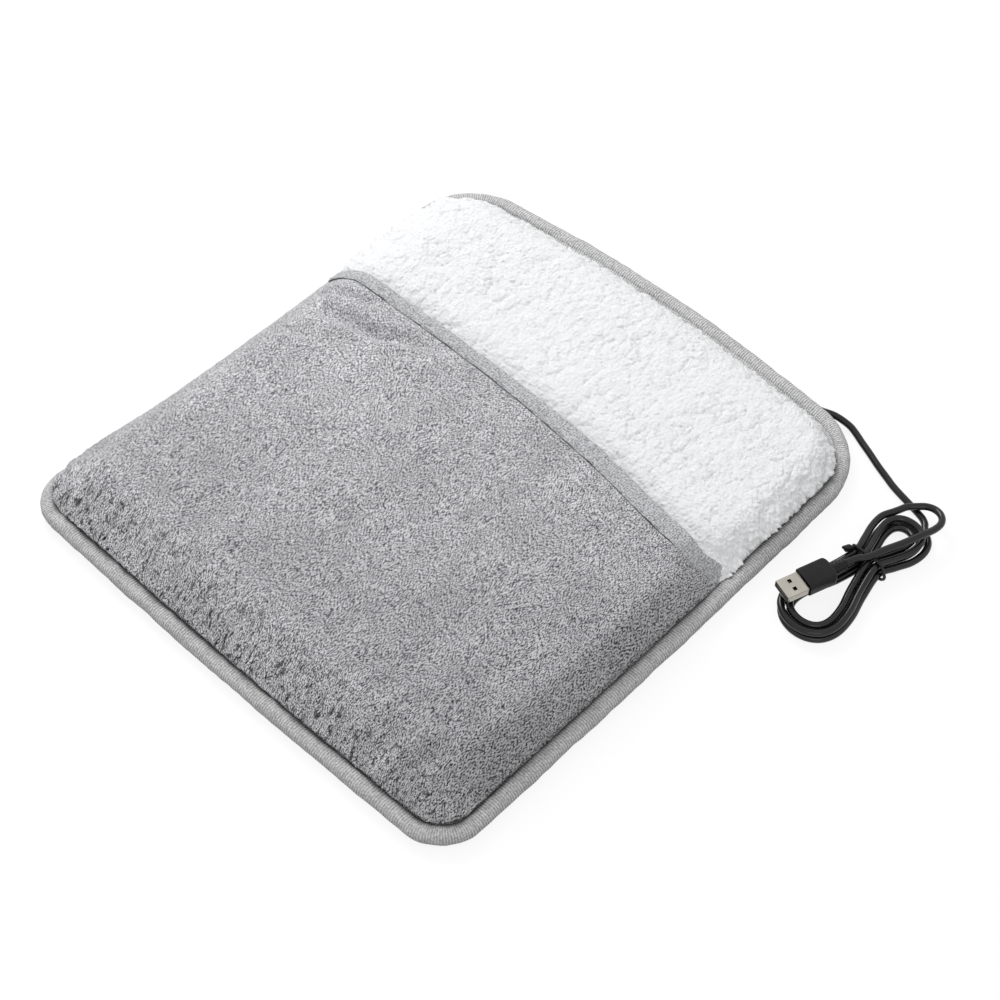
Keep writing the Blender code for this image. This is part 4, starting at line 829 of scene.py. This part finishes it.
def make_pocket(material, columns, spacing):
    x, y = pocket_grid(columns, spacing)
    height, dx, dy = pocket_surface(x, y)
    bx, by = bowed(x, y)
    full, rise = puff(x, y), shoulder(inset_of(x, y))
    hem = mouth_height(x) + GAP / 2 + MOUTH_HEM - (MOUTH_HEM + (POCKET_FLEECE - MOUTH_HEM) * full)
    base = POCKET_HEM_BOTTOM + (hem - POCKET_HEM_BOTTOM) * rise
    over_lining = mouth_height(x) + GAP / 2 - LINING_DROP * full
    floor = POCKET_HEM_BOTTOM + (over_lining - POCKET_HEM_BOTTOM) * rise
    low = np.minimum(base, np.maximum(floor, POCKET_HEM_BOTTOM))
    top = np.stack((bx + dx, by + dy, height), -1)
    bottom = np.stack((bx, by, np.minimum(low, height - 0.0006)), -1)
    mesh = closed_layer("pocket_fleece", top, bottom, COARSE)
    return add_piece("pocket_fleece", mesh, material, "grey_fleece", "pocket_outer", "pocket_wadding")


PILE = 0.0046


def sole_grid(columns, spacing):
    """Flat points over the whole sole, dense only where the sherpa shows."""
    full, start, end = HALF_WIDTH - SOLE_HEM_INSET, -0.002, HALF_DEPTH - BACK_RADIUS
    rows = row_lines(TOE_RADIUS, SOLE_HEM_INSET, 0.004, True)
    back = row_lines(BACK_RADIUS, SOLE_HEM_INSET, 0.0006, False)[::-1]
    rows += [(y, full) for y in np.linspace(-HALF_DEPTH + TOE_RADIUS, start, 28, endpoint=False)]
    count = int(round((end - start) / spacing))
    count += (COARSE - ((len(rows) + count + len(back) - 1) % COARSE)) % COARSE
    rows += [(y, full) for y in np.linspace(start, end, count, endpoint=False)]
    return grid_of(rows + back, column_shares(columns, 0.45))


def curls(x, y):
    """Height of the curly pile, from about 0 to 1: soft clumps parted by thin cracks, with fluff on them."""
    wx = x + 0.0024 * noise(x / 0.0085, y / 0.0085, 31) + 0.0007 * noise(x / 0.0021, y / 0.0021, 44)
    wy = y + 0.0024 * noise(x / 0.0085, y / 0.0085, 32) + 0.0007 * noise(x / 0.0021, y / 0.0021, 45)
    first, second = cells(wx / 0.0080, wy / 0.0080, 33)
    parted = smooth_step(0.42 + 1.1 * noise(x / 0.017, y / 0.017, 39))
    clumps = (1 - 0.55 * np.minimum(first, 1.0) ** 1.8) * (1 - 0.72 * parted * np.exp(-((second - first) / 0.12) ** 2))
    wx = x + 0.0008 * noise(x / 0.0019, y / 0.0019, 34)
    wy = y + 0.0008 * noise(x / 0.0019, y / 0.0019, 35)
    near, following = cells(wx / 0.0024, wy / 0.0024, 36)
    small = (1 - 0.55 * np.minimum(near, 1.0) ** 1.5) * (1 - 0.35 * np.exp(-((following - near) / 0.20) ** 2))
    fine = noise(x / 0.0011, y / 0.0011, 37)
    middle = noise(x / 0.0045, y / 0.0045, 46)
    broad = noise(x / 0.018, y / 0.018, 38)
    return 0.38 * clumps + 0.20 * small + 0.11 * fine + 0.13 * middle + 0.16 * broad


def make_sole(material, columns, spacing):
    """The sherpa: its curls, its ragged edge and the lap over the binding."""
    x, y = sole_grid(columns, spacing)
    inset = inset_of(x, y)
    behind = behind_mouth(x, y)
    back = back_side(y)
    lip = 0.0036 * back
    hem = 0.0056 + (0.0078 - 0.0056) * behind - 0.0009 * back
    crown = SOLE_LEVEL + SOLE_STEP * behind
    past_seam = inset - SEAM_INSET - lip
    open_share = smooth_step((y - mouth_y(x) + 0.010) / 0.010)
    ragged = (0.0006 + 0.0012 * back) * (1 + noise(x / 0.0042, y / 0.0042, 43)) * open_share
    seam = smooth_step((past_seam - ragged) / 0.0009)
    rise = shoulder(inset) + (steep_rise(x, y, lip) - shoulder(inset)) * open_share
    height = hem + (crown - hem) * rise
    pile = curls(x, y)
    lift = PILE * (0.42 + 0.72 * pile) * seam
    lift *= 0.12 + 0.88 * open_share
    ox, oy = outward(x, y)
    side = (0.0012 + 0.0040 * (pile - 0.35)) * seam * np.exp(-np.maximum(past_seam - 0.001, 0) / 0.004) * open_share
    lap = smooth_step((y - mouth_y(x) + 0.004) / 0.010)
    side += lap_out(x, y, past_seam) * lap * (0.85 + 0.5 * pile)
    right = smooth_step((x / HALF_WIDTH - 0.80) / 0.08) * (1 - back)
    side += 0.0026 * right * (0.4 + 1.2 * pile) * seam * np.exp(-np.maximum(past_seam - 0.002, 0) / 0.005) * open_share
    bx, by = bowed(x, y)
    jitter_x = 0.0006 * noise(x / 0.0017, y / 0.0017, 41) * seam * open_share
    jitter_y = 0.0006 * noise(x / 0.0017, y / 0.0017, 42) * seam * open_share
    top = np.stack((bx + ox * side + jitter_x, by + oy * side + jitter_y, height + lift), -1)
    low = 0.0046 + (crown - 0.005 - 0.0046) * shoulder(inset)
    low = np.where(near_tail(bx, by), np.maximum(low, 0.0069), low)
    bottom = np.stack((bx, by, low), -1)
    mesh = closed_layer("sherpa_sole", top, bottom, COARSE)
    # The pile's height for each point, which the sherpa's material turns into painted shade in its hollows.
    hollow = mesh.attributes.new("pile", 'FLOAT', 'POINT')
    values = np.ones(len(mesh.vertices), np.float32)
    values[:pile.size] = (pile * seam).reshape(-1)
    hollow.data.foreach_set("value", values)
    add_piece("sherpa_sole", mesh, material, "white_sherpa", "sole_fleece")


def near_tail(x, y):
    """True where the cord's inner end runs under the layers."""
    along = (EXIT_PLACE.x - x) * math.cos(EXIT_HEADING) + (EXIT_PLACE.y - y) * math.sin(EXIT_HEADING)
    across = (EXIT_PLACE.x - x) * math.sin(EXIT_HEADING) - (EXIT_PLACE.y - y) * math.cos(EXIT_HEADING)
    return (np.abs(across) < 0.0034) & (along > -0.002) & (along < 0.080)


# Bindings

def perimeter(step):
    """Stations round the flat outline: places, inward directions and run."""
    places, inwards = [], []
    sides = (
        ((-HALF_WIDTH + TOE_RADIUS, -HALF_DEPTH), (HALF_WIDTH - TOE_RADIUS, -HALF_DEPTH), TOE_RADIUS),
        ((HALF_WIDTH, -HALF_DEPTH + TOE_RADIUS), (HALF_WIDTH, HALF_DEPTH - BACK_RADIUS), BACK_RADIUS),
        ((HALF_WIDTH - BACK_RADIUS, HALF_DEPTH), (-HALF_WIDTH + BACK_RADIUS, HALF_DEPTH), BACK_RADIUS),
        ((-HALF_WIDTH, HALF_DEPTH - BACK_RADIUS), (-HALF_WIDTH, -HALF_DEPTH + TOE_RADIUS), TOE_RADIUS))
    for side, (start, end, radius) in enumerate(sides):
        heading = side * math.pi / 2
        inward = np.array((-math.sin(heading), math.cos(heading)))
        start, end = np.array(start), np.array(end)
        count = int(round(np.linalg.norm(end - start) / step))
        for i in range(count):
            places.append(start + (end - start) * i / count)
            inwards.append(inward)
        centre = end + radius * inward
        count = int(round(radius * math.pi / 2 / step))
        for i in range(count):
            angle = heading + (i / count - 1) * math.pi / 2
            direction = np.array((math.cos(angle), math.sin(angle)))
            places.append(centre + radius * direction)
            inwards.append(-direction)
    return np.array(places), np.array(inwards)


def set_tape_map(mesh, along, across, columns, closed_length):
    """Stores a map in metres: along the tape and across it."""
    layer = mesh.uv_layers.new(name="tape")
    count = len(mesh.loops)
    vertex = np.zeros(count, np.int32)
    mesh.loops.foreach_get("vertex_index", vertex)
    u, v = along[vertex // columns], across[vertex % columns]
    if closed_length:
        starts = np.zeros(len(mesh.polygons), np.int32)
        mesh.polygons.foreach_get("loop_start", starts)
        groups = u.reshape(-1, 4)
        wrap = (groups.max(1) - groups.min(1)) > closed_length / 2
        groups[wrap] = np.where(groups[wrap] < closed_length / 2, groups[wrap] + closed_length, groups[wrap])
        u = groups.reshape(-1)
    layer.data.foreach_set("uv", np.stack((u, v), -1).astype(np.float32).reshape(-1))


def runs_of(section):
    """The length along a section up to each of its points."""
    steps = [math.dist(a, b) for a, b in zip(section, section[1:])]
    return np.concatenate(((0.0,), np.cumsum(steps)))


RIB_LENGTH, RIB_HEIGHT, STEPS_PER_RIB = 0.00140, 0.00007, 5


def make_edge_binding(material):
    """The folded tape round the mat, ribbed across its run, with an inner lip along the open end."""
    places, inwards = perimeter(RIB_LENGTH / STEPS_PER_RIB)
    count = len(places)
    steps = np.linalg.norm(np.roll(places, -1, 0) - places, axis=1)
    along = np.concatenate(((0.0,), np.cumsum(steps)[:-1]))
    whole = float(steps.sum())
    ribs = round(whole / RIB_LENGTH)
    along *= ribs * RIB_LENGTH / whole
    outer = [(BINDING_WIDTH, 0.0), (0.0066, 0.0)]
    for step in range(15):
        angle = math.pi * (step / 14 - 0.5)
        outer.append((BINDING_BEND * (1 - math.cos(angle)), BINDING_HEIGHT / 2 * (1 + math.sin(angle))))
    outer += [(0.0060, BINDING_HEIGHT * 0.992), (0.0072, BINDING_HEIGHT * 0.965), (0.0082, BINDING_HEIGHT * 0.915),
              (BINDING_WIDTH, BINDING_HEIGHT * 0.830)]
    outer += [(BINDING_WIDTH + run, BINDING_HEIGHT * share)
              for run, share in ((0.0004, 0.730), (0.0010, 0.690), (0.0015, 0.760), (0.0020, 0.850), (0.0028, 0.870),
                                 (0.0034, 0.840), (0.0038, 0.760))]
    inner = [(BINDING_WIDTH, 0.0074), (0.0060, 0.0079), (0.0024, 0.0066), (0.0015, 0.0047), (0.0024, 0.0028),
             (0.0060, 0.0013), (BINDING_WIDTH, 0.0013)]
    section = outer + inner
    tuck = left_side(places[:, 0], places[:, 1])
    lip = back_side(places[:, 1])
    rings = np.zeros((count, len(section), 3))
    middle = np.array((BINDING_BEND, BINDING_HEIGHT / 2))
    for i, (inset, height) in enumerate(section):
        visible = 1.0 if 2 <= i <= len(outer) - 1 else 0.0
        rib = np.cos(along / RIB_LENGTH * TAU) * RIB_HEIGHT * visible
        waver = 0.00035 * noise(along / 0.021, np.full(count, i * 0.13), 51) * visible
        squeeze = 0.00025 * noise(along / 0.006, np.full(count, i * 0.2), 52) * visible
        push = np.array((inset, height)) - middle
        push = push / max(np.linalg.norm(push), 1e-9)
        grow = rib + waver + squeeze - 0.0003 * visible
        flat_inset = min(inset, BINDING_WIDTH) + max(inset - BINDING_WIDTH, 0.0) * lip
        flat_inset = flat_inset + push[0] * grow + 0.0018 * tuck * (1 - min(inset / BINDING_WIDTH, 1.0))
        z = (height + push[1] * grow) * (1 - 0.07 * tuck)
        p = places + inwards * flat_inset[:, None]
        bx, by = bowed(p[:, 0], p[:, 1])
        rings[:, i, 0], rings[:, i, 1], rings[:, i, 2] = bx, by, np.maximum(z, 0.0)
    mesh = swept("binding_roll", rings[:, ::-1], True)
    set_tape_map(mesh, along, runs_of(section)[::-1], len(section), ribs * RIB_LENGTH)
    add_piece("binding_roll", mesh, material, "knit_tape", "edge_binding")


def make_mouth_tape(material):
    """The tape folded over the mouth's edge, thinner at both its ends."""
    outer = []
    for step in range(11):
        angle = math.pi * (step / 10 - 0.5)
        outer.append((TAPE_HALF_HEIGHT * (1 - math.cos(angle)), TAPE_HALF_HEIGHT * math.sin(angle)))
    inner_half = TAPE_HALF_HEIGHT - TAPE_THICKNESS
    inner = []
    for step in range(7):
        angle = math.pi * (step / 6 - 0.5)
        inner.append((TAPE_THICKNESS + inner_half * (1 - math.cos(angle)), inner_half * math.sin(angle)))
    upper = [(0.0045, 1.00), (0.0065, 1.0), (0.0085, 0.99), (0.0100, 0.955), (0.0108, 0.90), (0.0114, 0.93),
             (TAPE_WIDTH, 0.80)]
    section = [(TAPE_WIDTH, -TAPE_HALF_HEIGHT)] + outer + [(i, h * TAPE_HALF_HEIGHT) for i, h in upper]
    section += [(TAPE_WIDTH, inner_half)] + inner[::-1] + [(TAPE_WIDTH, -inner_half)]
    end = HALF_WIDTH - 0.0096
    flat_x = np.linspace(-end, end, 1200)
    middle = mouth_height(flat_x)
    middle = TAPE_END_LEVEL + (middle - TAPE_END_LEVEL) * steep_rise(flat_x, mouth_y(flat_x))
    narrow = (tape_width(flat_x) - TAPE_HALF_HEIGHT) / (TAPE_WIDTH - TAPE_HALF_HEIGHT)
    lap = lap_out(flat_x, mouth_y(flat_x), HALF_WIDTH - np.abs(flat_x) - SEAM_INSET)
    slim = 0.45 + 0.55 * smooth_step((end - np.abs(flat_x)) / 0.004)
    rings = np.zeros((len(flat_x), len(section), 3))
    wave = 0.0005 * noise(flat_x / 0.030, flat_x * 0, 61)
    ripple = 0.00022 * noise(flat_x / 0.0075, flat_x * 0, 62)
    for i, (inset, level) in enumerate(section):
        back = min(inset, TAPE_HALF_HEIGHT) + max(inset - TAPE_HALF_HEIGHT, 0.0) * narrow
        bx, by = bowed(flat_x, mouth_y(flat_x) - back + 0.0004 * noise(flat_x / 0.016, flat_x * 0 + 3, 63))
        rings[:, i, 0], rings[:, i, 1] = bx - lap, by
        rings[:, i, 2] = middle + level * slim + wave + ripple * (1 + inset / 0.004) * (1 if level > 0 else 0.3)
    mesh = swept("mouth_tape", rings, False)
    set_tape_map(mesh, flat_x, runs_of(section), len(section), 0.0)
    add_piece("mouth_tape", mesh, material, "knit_tape", "mouth_binding")


def mat_grid(hem, columns, middle_rows):
    """Points of the flat plan inside the outline, a hem's width in."""
    full = HALF_WIDTH - hem
    rows = row_lines(TOE_RADIUS, hem, 0.002, True)
    rows += [(y, full) for y in np.linspace(-HALF_DEPTH + TOE_RADIUS, HALF_DEPTH - BACK_RADIUS, middle_rows)]
    rows += row_lines(BACK_RADIUS, hem, 0.002, False)[::-1]
    if len(rows) % 2 == 0:
        rows.insert(40, ((rows[39][0] + rows[40][0]) / 2, full))
    return grid_of(rows, column_shares(columns, 0.3))


def box_grid(half_x, low_y, high_y, radius, columns, middle_rows):
    """Points inside a rectangle with rounded corners, in the flat plan."""
    angles = np.linspace(0.0, math.pi / 2, 7)[:-1]
    ends = [(radius * (1 - math.cos(a)), half_x - radius + radius * math.sin(a)) for a in angles]
    rows = [(low_y + run, half) for run, half in ends]
    rows += [(y, half_x) for y in np.linspace(low_y + radius, high_y - radius, middle_rows)]
    rows += [(high_y - run, half) for run, half in reversed(ends)]
    return grid_of(rows, np.linspace(-1.0, 1.0, columns))


def make_layer(name, x, y, high, low, coarse, material, slot, *nodes):
    mesh = closed_layer(name, np.stack((x, y, high), -1), np.stack((x, y, low), -1), coarse)
    add_piece(name, mesh, material, slot, *nodes)


def make_base(material):
    x, y = mat_grid(SOLE_HEM_INSET, 161, 129)
    inside = smooth_step((inset_of(x, y) - SEAM_INSET + 0.0002) / 0.0016)
    bx, by = bowed(x, y)
    high = 0.0023 + (0.0009 - 0.0023) * inside
    nap = 0.00012 * (noise(x / 0.004, y / 0.006, 71) + 1) * inside
    low = np.maximum((0.0016 - 0.0016 * inside) + nap * 0.5, 0.0)
    make_layer("base_fleece", bx, by, high, low, 2, material, "grey_fleece", "base_cover")


def make_inner_layers(wadding, carrier, lining):
    """Wadding, heater carrier and lining, which lie inside and show only through the mouth."""
    x, y = mat_grid(SOLE_HEM_INSET, 121, 97)
    inside = smooth_step((inset_of(x, y) - SEAM_INSET) / 0.003)
    bx, by = bowed(x, y)
    high = 0.0043 - 0.0003 * inside - 0.00012 * (noise(x / 0.006, y / 0.006, 81) + 1)
    recess = (bx > 0.017) & (bx < 0.089) & (by > 0.104) & (by < 0.154)
    high = np.where(recess | near_tail(bx, by), np.minimum(high, 0.0016 + 0.0012 * (1 - inside)), high)
    low = 0.0026 - 0.0013 * inside
    make_layer("lower_wadding", bx, by, high, np.minimum(low, high - 0.0002), 1, wadding, "wadding", "base_wadding")

    x, y = box_grid(0.1145, -0.1325, 0.1320, 0.014, 121, 105)
    inset = np.minimum(HALF_WIDTH - np.abs(x), HALF_DEPTH - np.abs(y))
    crown = SOLE_LEVEL + SOLE_STEP * behind_mouth(x, y)
    high = 0.0043 + (crown - 0.0050 - 0.0046) * shoulder(inset) - 0.0002 * (noise(x / 0.008, y / 0.008, 82) + 1)
    low = 0.0072 + 0.0001 * (noise(x / 0.005, y / 0.005, 83) + 1)
    low = np.where((x > 0.015) & (x < 0.092) & (y > 0.102) & (y < 0.158), 0.0081, low)
    make_layer("upper_wadding", x, y, np.maximum(high, low + 0.0004), low, 1, wadding, "wadding", "sole_wadding")

    x, y = box_grid(0.112, -0.14115, 0.09495, 0.012, 97, 89)
    weave = 0.00004 * (noise(x / 0.0031, y / 0.0031, 84) + 1)
    make_layer("carrier_sheet", x, y, 0.0047 - weave, 0.0043 + weave, 1, carrier, "non_woven", "heater_carrier")

    x, y = pocket_grid(161, 0.0020)
    bx, by = bowed(x, y)
    rise, full = shoulder(inset_of(x, y)), puff(x, y)
    crown = mouth_height(x) - GAP / 2 - LINING_DROP * full
    high = 0.0067 + (crown - 0.0067) * rise
    low = 0.0059 + (crown - 0.0011 - 0.0004 * full - 0.0059) * rise
    low -= 0.00018 * (noise(x / 0.0035, y / 0.0035, 85) + 1) * rise
    make_layer("pocket_inside", bx, by, high, low, 1, lining, "pocket_lining", "pocket_lining")


def make_stitches(material):
    """Short stitches along the tape's edge on the pocket."""
    length, gap, radius = 0.0027, 0.0006, 0.00024
    end = HALF_WIDTH - 0.0115
    starts = np.arange(-end, end - length, length + gap)
    points, faces = [], []
    for start in starts:
        first = len(points)
        for step in range(7):
            share = step / 6
            x = start + length * share
            swell = math.sqrt(max(1 - (2 * share - 1) ** 6, 0.0)) * 0.7 + 0.3
            rise = float(steep_rise(np.array(x), np.array(mouth_y(x))))
            level = TAPE_END_LEVEL + (float(mouth_height(x)) - TAPE_END_LEVEL) * rise
            level += 0.0005 * float(noise(np.array(x / 0.030), np.array(0.0), 61)) + TAPE_HALF_HEIGHT * 0.96
            level -= 0.0003 * (2 * share - 1) ** 2
            for turn in range(6):
                angle = turn / 6 * TAU
                line = mouth_y(x) - float(tape_width(x)) + 0.0012
                px, py = bowed(np.array(x), np.array(line + radius * swell * math.cos(angle)))
                lap = float(lap_out(np.array(x), np.array(mouth_y(x)), HALF_WIDTH - abs(x) - SEAM_INSET))
                points.append((float(px) - lap, float(py), level + radius * swell * math.sin(angle)))
        for step in range(6):
            for turn in range(6):
                a, b = first + step * 6 + turn, first + step * 6 + (turn + 1) % 6
                faces.append((a, a + 6, b + 6, b))
        faces.append(tuple(first + turn for turn in range(6)))
        faces.append(tuple(first + 36 + turn for turn in range(5, -1, -1)))
    add_piece("mouth_stitches", mesh_of("mouth_stitches", points, faces), material, "knit_tape")


# Stage and light

FLOOR_TONE, FLOOR_GLOW, FLOOR_REACH, FLOOR_DROP = 0.18, 0.86, 6.0, 0.0002
WORLD_LEVEL = 0.59
LAMPS = (("key", (-0.964, 0.39, 0.936), 0.8, 10.5), ("fill", (1.4, -1.2, 1.5), 1.6, 6.0))


def seen_rays(tree):
    """1 for the rays that show the background to the camera, metal and glass."""
    path = node(tree, "ShaderNodeLightPath")
    return math_of(tree, 'MAXIMUM', path.outputs["Is Camera Ray"],
                   math_of(tree, 'MAXIMUM', path.outputs["Is Glossy Ray"], path.outputs["Is Transmission Ray"]))


def make_stage():
    material, tree, shader = new_material("floor_white")
    shader.inputs["Base Color"].default_value = (FLOOR_TONE, FLOOR_TONE, FLOOR_TONE, 1.0)
    shader.inputs["Roughness"].default_value = 1.0
    shader.inputs["Specular IOR Level"].default_value = 0.0
    glow = node(tree, "ShaderNodeEmission", Strength=math_of(tree, 'MULTIPLY', seen_rays(tree), FLOOR_GLOW))
    total = node(tree, "ShaderNodeAddShader")
    tree.links.new(shader.outputs["BSDF"], total.inputs[0])
    tree.links.new(glow.outputs["Emission"], total.inputs[1])
    tree.links.new(total.outputs["Shader"], tree.nodes["Material Output"].inputs["Surface"])
    corners = [(x * FLOOR_REACH, y * FLOOR_REACH, -FLOOR_DROP) for x, y in ((-1, -1), (1, -1), (1, 1), (-1, 1))]
    mesh = mesh_of("floor", corners, [(0, 1, 2, 3)])
    mesh.materials.append(material)
    floor = bpy.data.objects.new("floor", mesh)
    bpy.context.scene.collection.objects.link(floor)

    world = bpy.data.worlds.new("studio")
    bpy.context.scene.world = world
    world.use_nodes = True
    tree = world.node_tree
    background = tree.nodes["Background"]
    extra = math_of(tree, 'MULTIPLY', seen_rays(tree), 1.0 - WORLD_LEVEL)
    feed(tree, background.inputs["Strength"], math_of(tree, 'ADD', WORLD_LEVEL, extra))
    background.inputs["Color"].default_value = (1.0, 1.0, 1.0, 1.0)

    for name, place, size, power in LAMPS:
        data = bpy.data.lights.new(name, 'AREA')
        data.shape = 'DISK'
        data.size = size
        data.energy = power
        light = bpy.data.objects.new(name, data)
        light.location = place
        light.rotation_euler = (-Vector(place)).to_track_quat('-Z', 'Y').to_euler()
        bpy.context.scene.collection.objects.link(light)
    bpy.context.scene.view_settings.view_transform = 'Standard'


make_camera()

CORD_BLACK = plain_material("cord_black", (0.008, 0.008, 0.0085), (0.005, 0.005, 0.0055), 0.14, 0.22, 1800.0, 0.00004,
                            specular=0.38)
MOULDED_BLACK = plain_material("moulded_black", (0.009, 0.009, 0.010), (0.006, 0.006, 0.007), 0.34, 0.48, 2600.0,
                               0.00006, specular=0.22)
TIE_BLACK = plain_material("tie_black", (0.008, 0.008, 0.009), (0.005, 0.005, 0.006), 0.34, 0.50, 1500.0, 0.00005,
                           specular=0.30)
NICKEL = plain_material("nickel", (0.47, 0.445, 0.395), (0.40, 0.38, 0.335), 0.20, 0.34, 900.0, 0.00001, metallic=1.0)
GOLD = plain_material("gold_contact", (0.62, 0.43, 0.16), (0.50, 0.34, 0.12), 0.22, 0.36, 900.0, 0.00001, metallic=1.0)
TONGUE = plain_material("tongue", (0.030, 0.029, 0.028), (0.020, 0.020, 0.020), 0.42, 0.55, 1500.0, 0.00003)
WIRE_RED = plain_material("wire_red", (0.46, 0.035, 0.025), (0.38, 0.025, 0.018), 0.40, 0.52, 1200.0, 0.00003)
SLEEVE = plain_material("sleeve", (0.12, 0.14, 0.33), (0.09, 0.10, 0.26), 0.38, 0.50, 900.0, 0.00003)
FLEECE = fleece_material("grey_fleece")
SHERPA = sherpa_material("white_sherpa", shade_hollows=True)
WADDING = sherpa_material("wadding_white", (0.86, 0.86, 0.84))
LINING = sherpa_material("lining_white", (0.82, 0.83, 0.85))
CARRIER = sherpa_material("carrier_white", (0.78, 0.78, 0.76))
# Each knit's last three numbers set its painted crevice shade: reach, darkest share and the openness where it ends.
KNIT = tape_material("edge_knit", RIB_LENGTH, (0.89, 0.895, 0.89), 0.38, 0.60, (0.0050, 0.16, 0.80))
THREAD = plain_material("thread_grey", (0.56, 0.56, 0.57), (0.48, 0.48, 0.49), 0.70, 0.85, 2600.0, 0.00005,
                        specular=0.2)
MOUTH_KNIT = tape_material("mouth_knit", 0.0012, (0.77, 0.78, 0.80), 0.16, 0.36, (0.0030, 0.40, 0.62))

lead, strands, lead_length = make_cord(CORD_BLACK)
tie = make_tie(TIE_BLACK, strands)
grip = make_plug_grip(MOULDED_BLACK)

pocket = make_pocket(FLEECE, 481, 0.0006)
make_sole(SHERPA, 601, 0.0005)
make_edge_binding(KNIT)
make_mouth_tape(MOUTH_KNIT)
make_base(FLEECE)
make_stitches(THREAD)
make_inner_layers(WADDING, CARRIER, LINING)

CAD_LOOKS = (
    (WIRE_RED, ("heating_wire", "cutout_wire", "lead_wire_1", "lead_wire_2")),
    (SLEEVE, ("splice_1", "splice_2")),
    (MOULDED_BLACK, ("thermal_cutout", "cord_anchor")),
    (CORD_BLACK, ("cord_tail",)),
    (NICKEL, ("plug_shell",)),
    (TONGUE, ("plug_tongue",)),
    (GOLD, ("plug_contact_1", "plug_contact_2", "plug_contact_3", "plug_contact_4")))
for material, names in CAD_LOOKS:
    for name in names:
        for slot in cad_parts[name].material_slots:
            slot.material = material

make_stage()
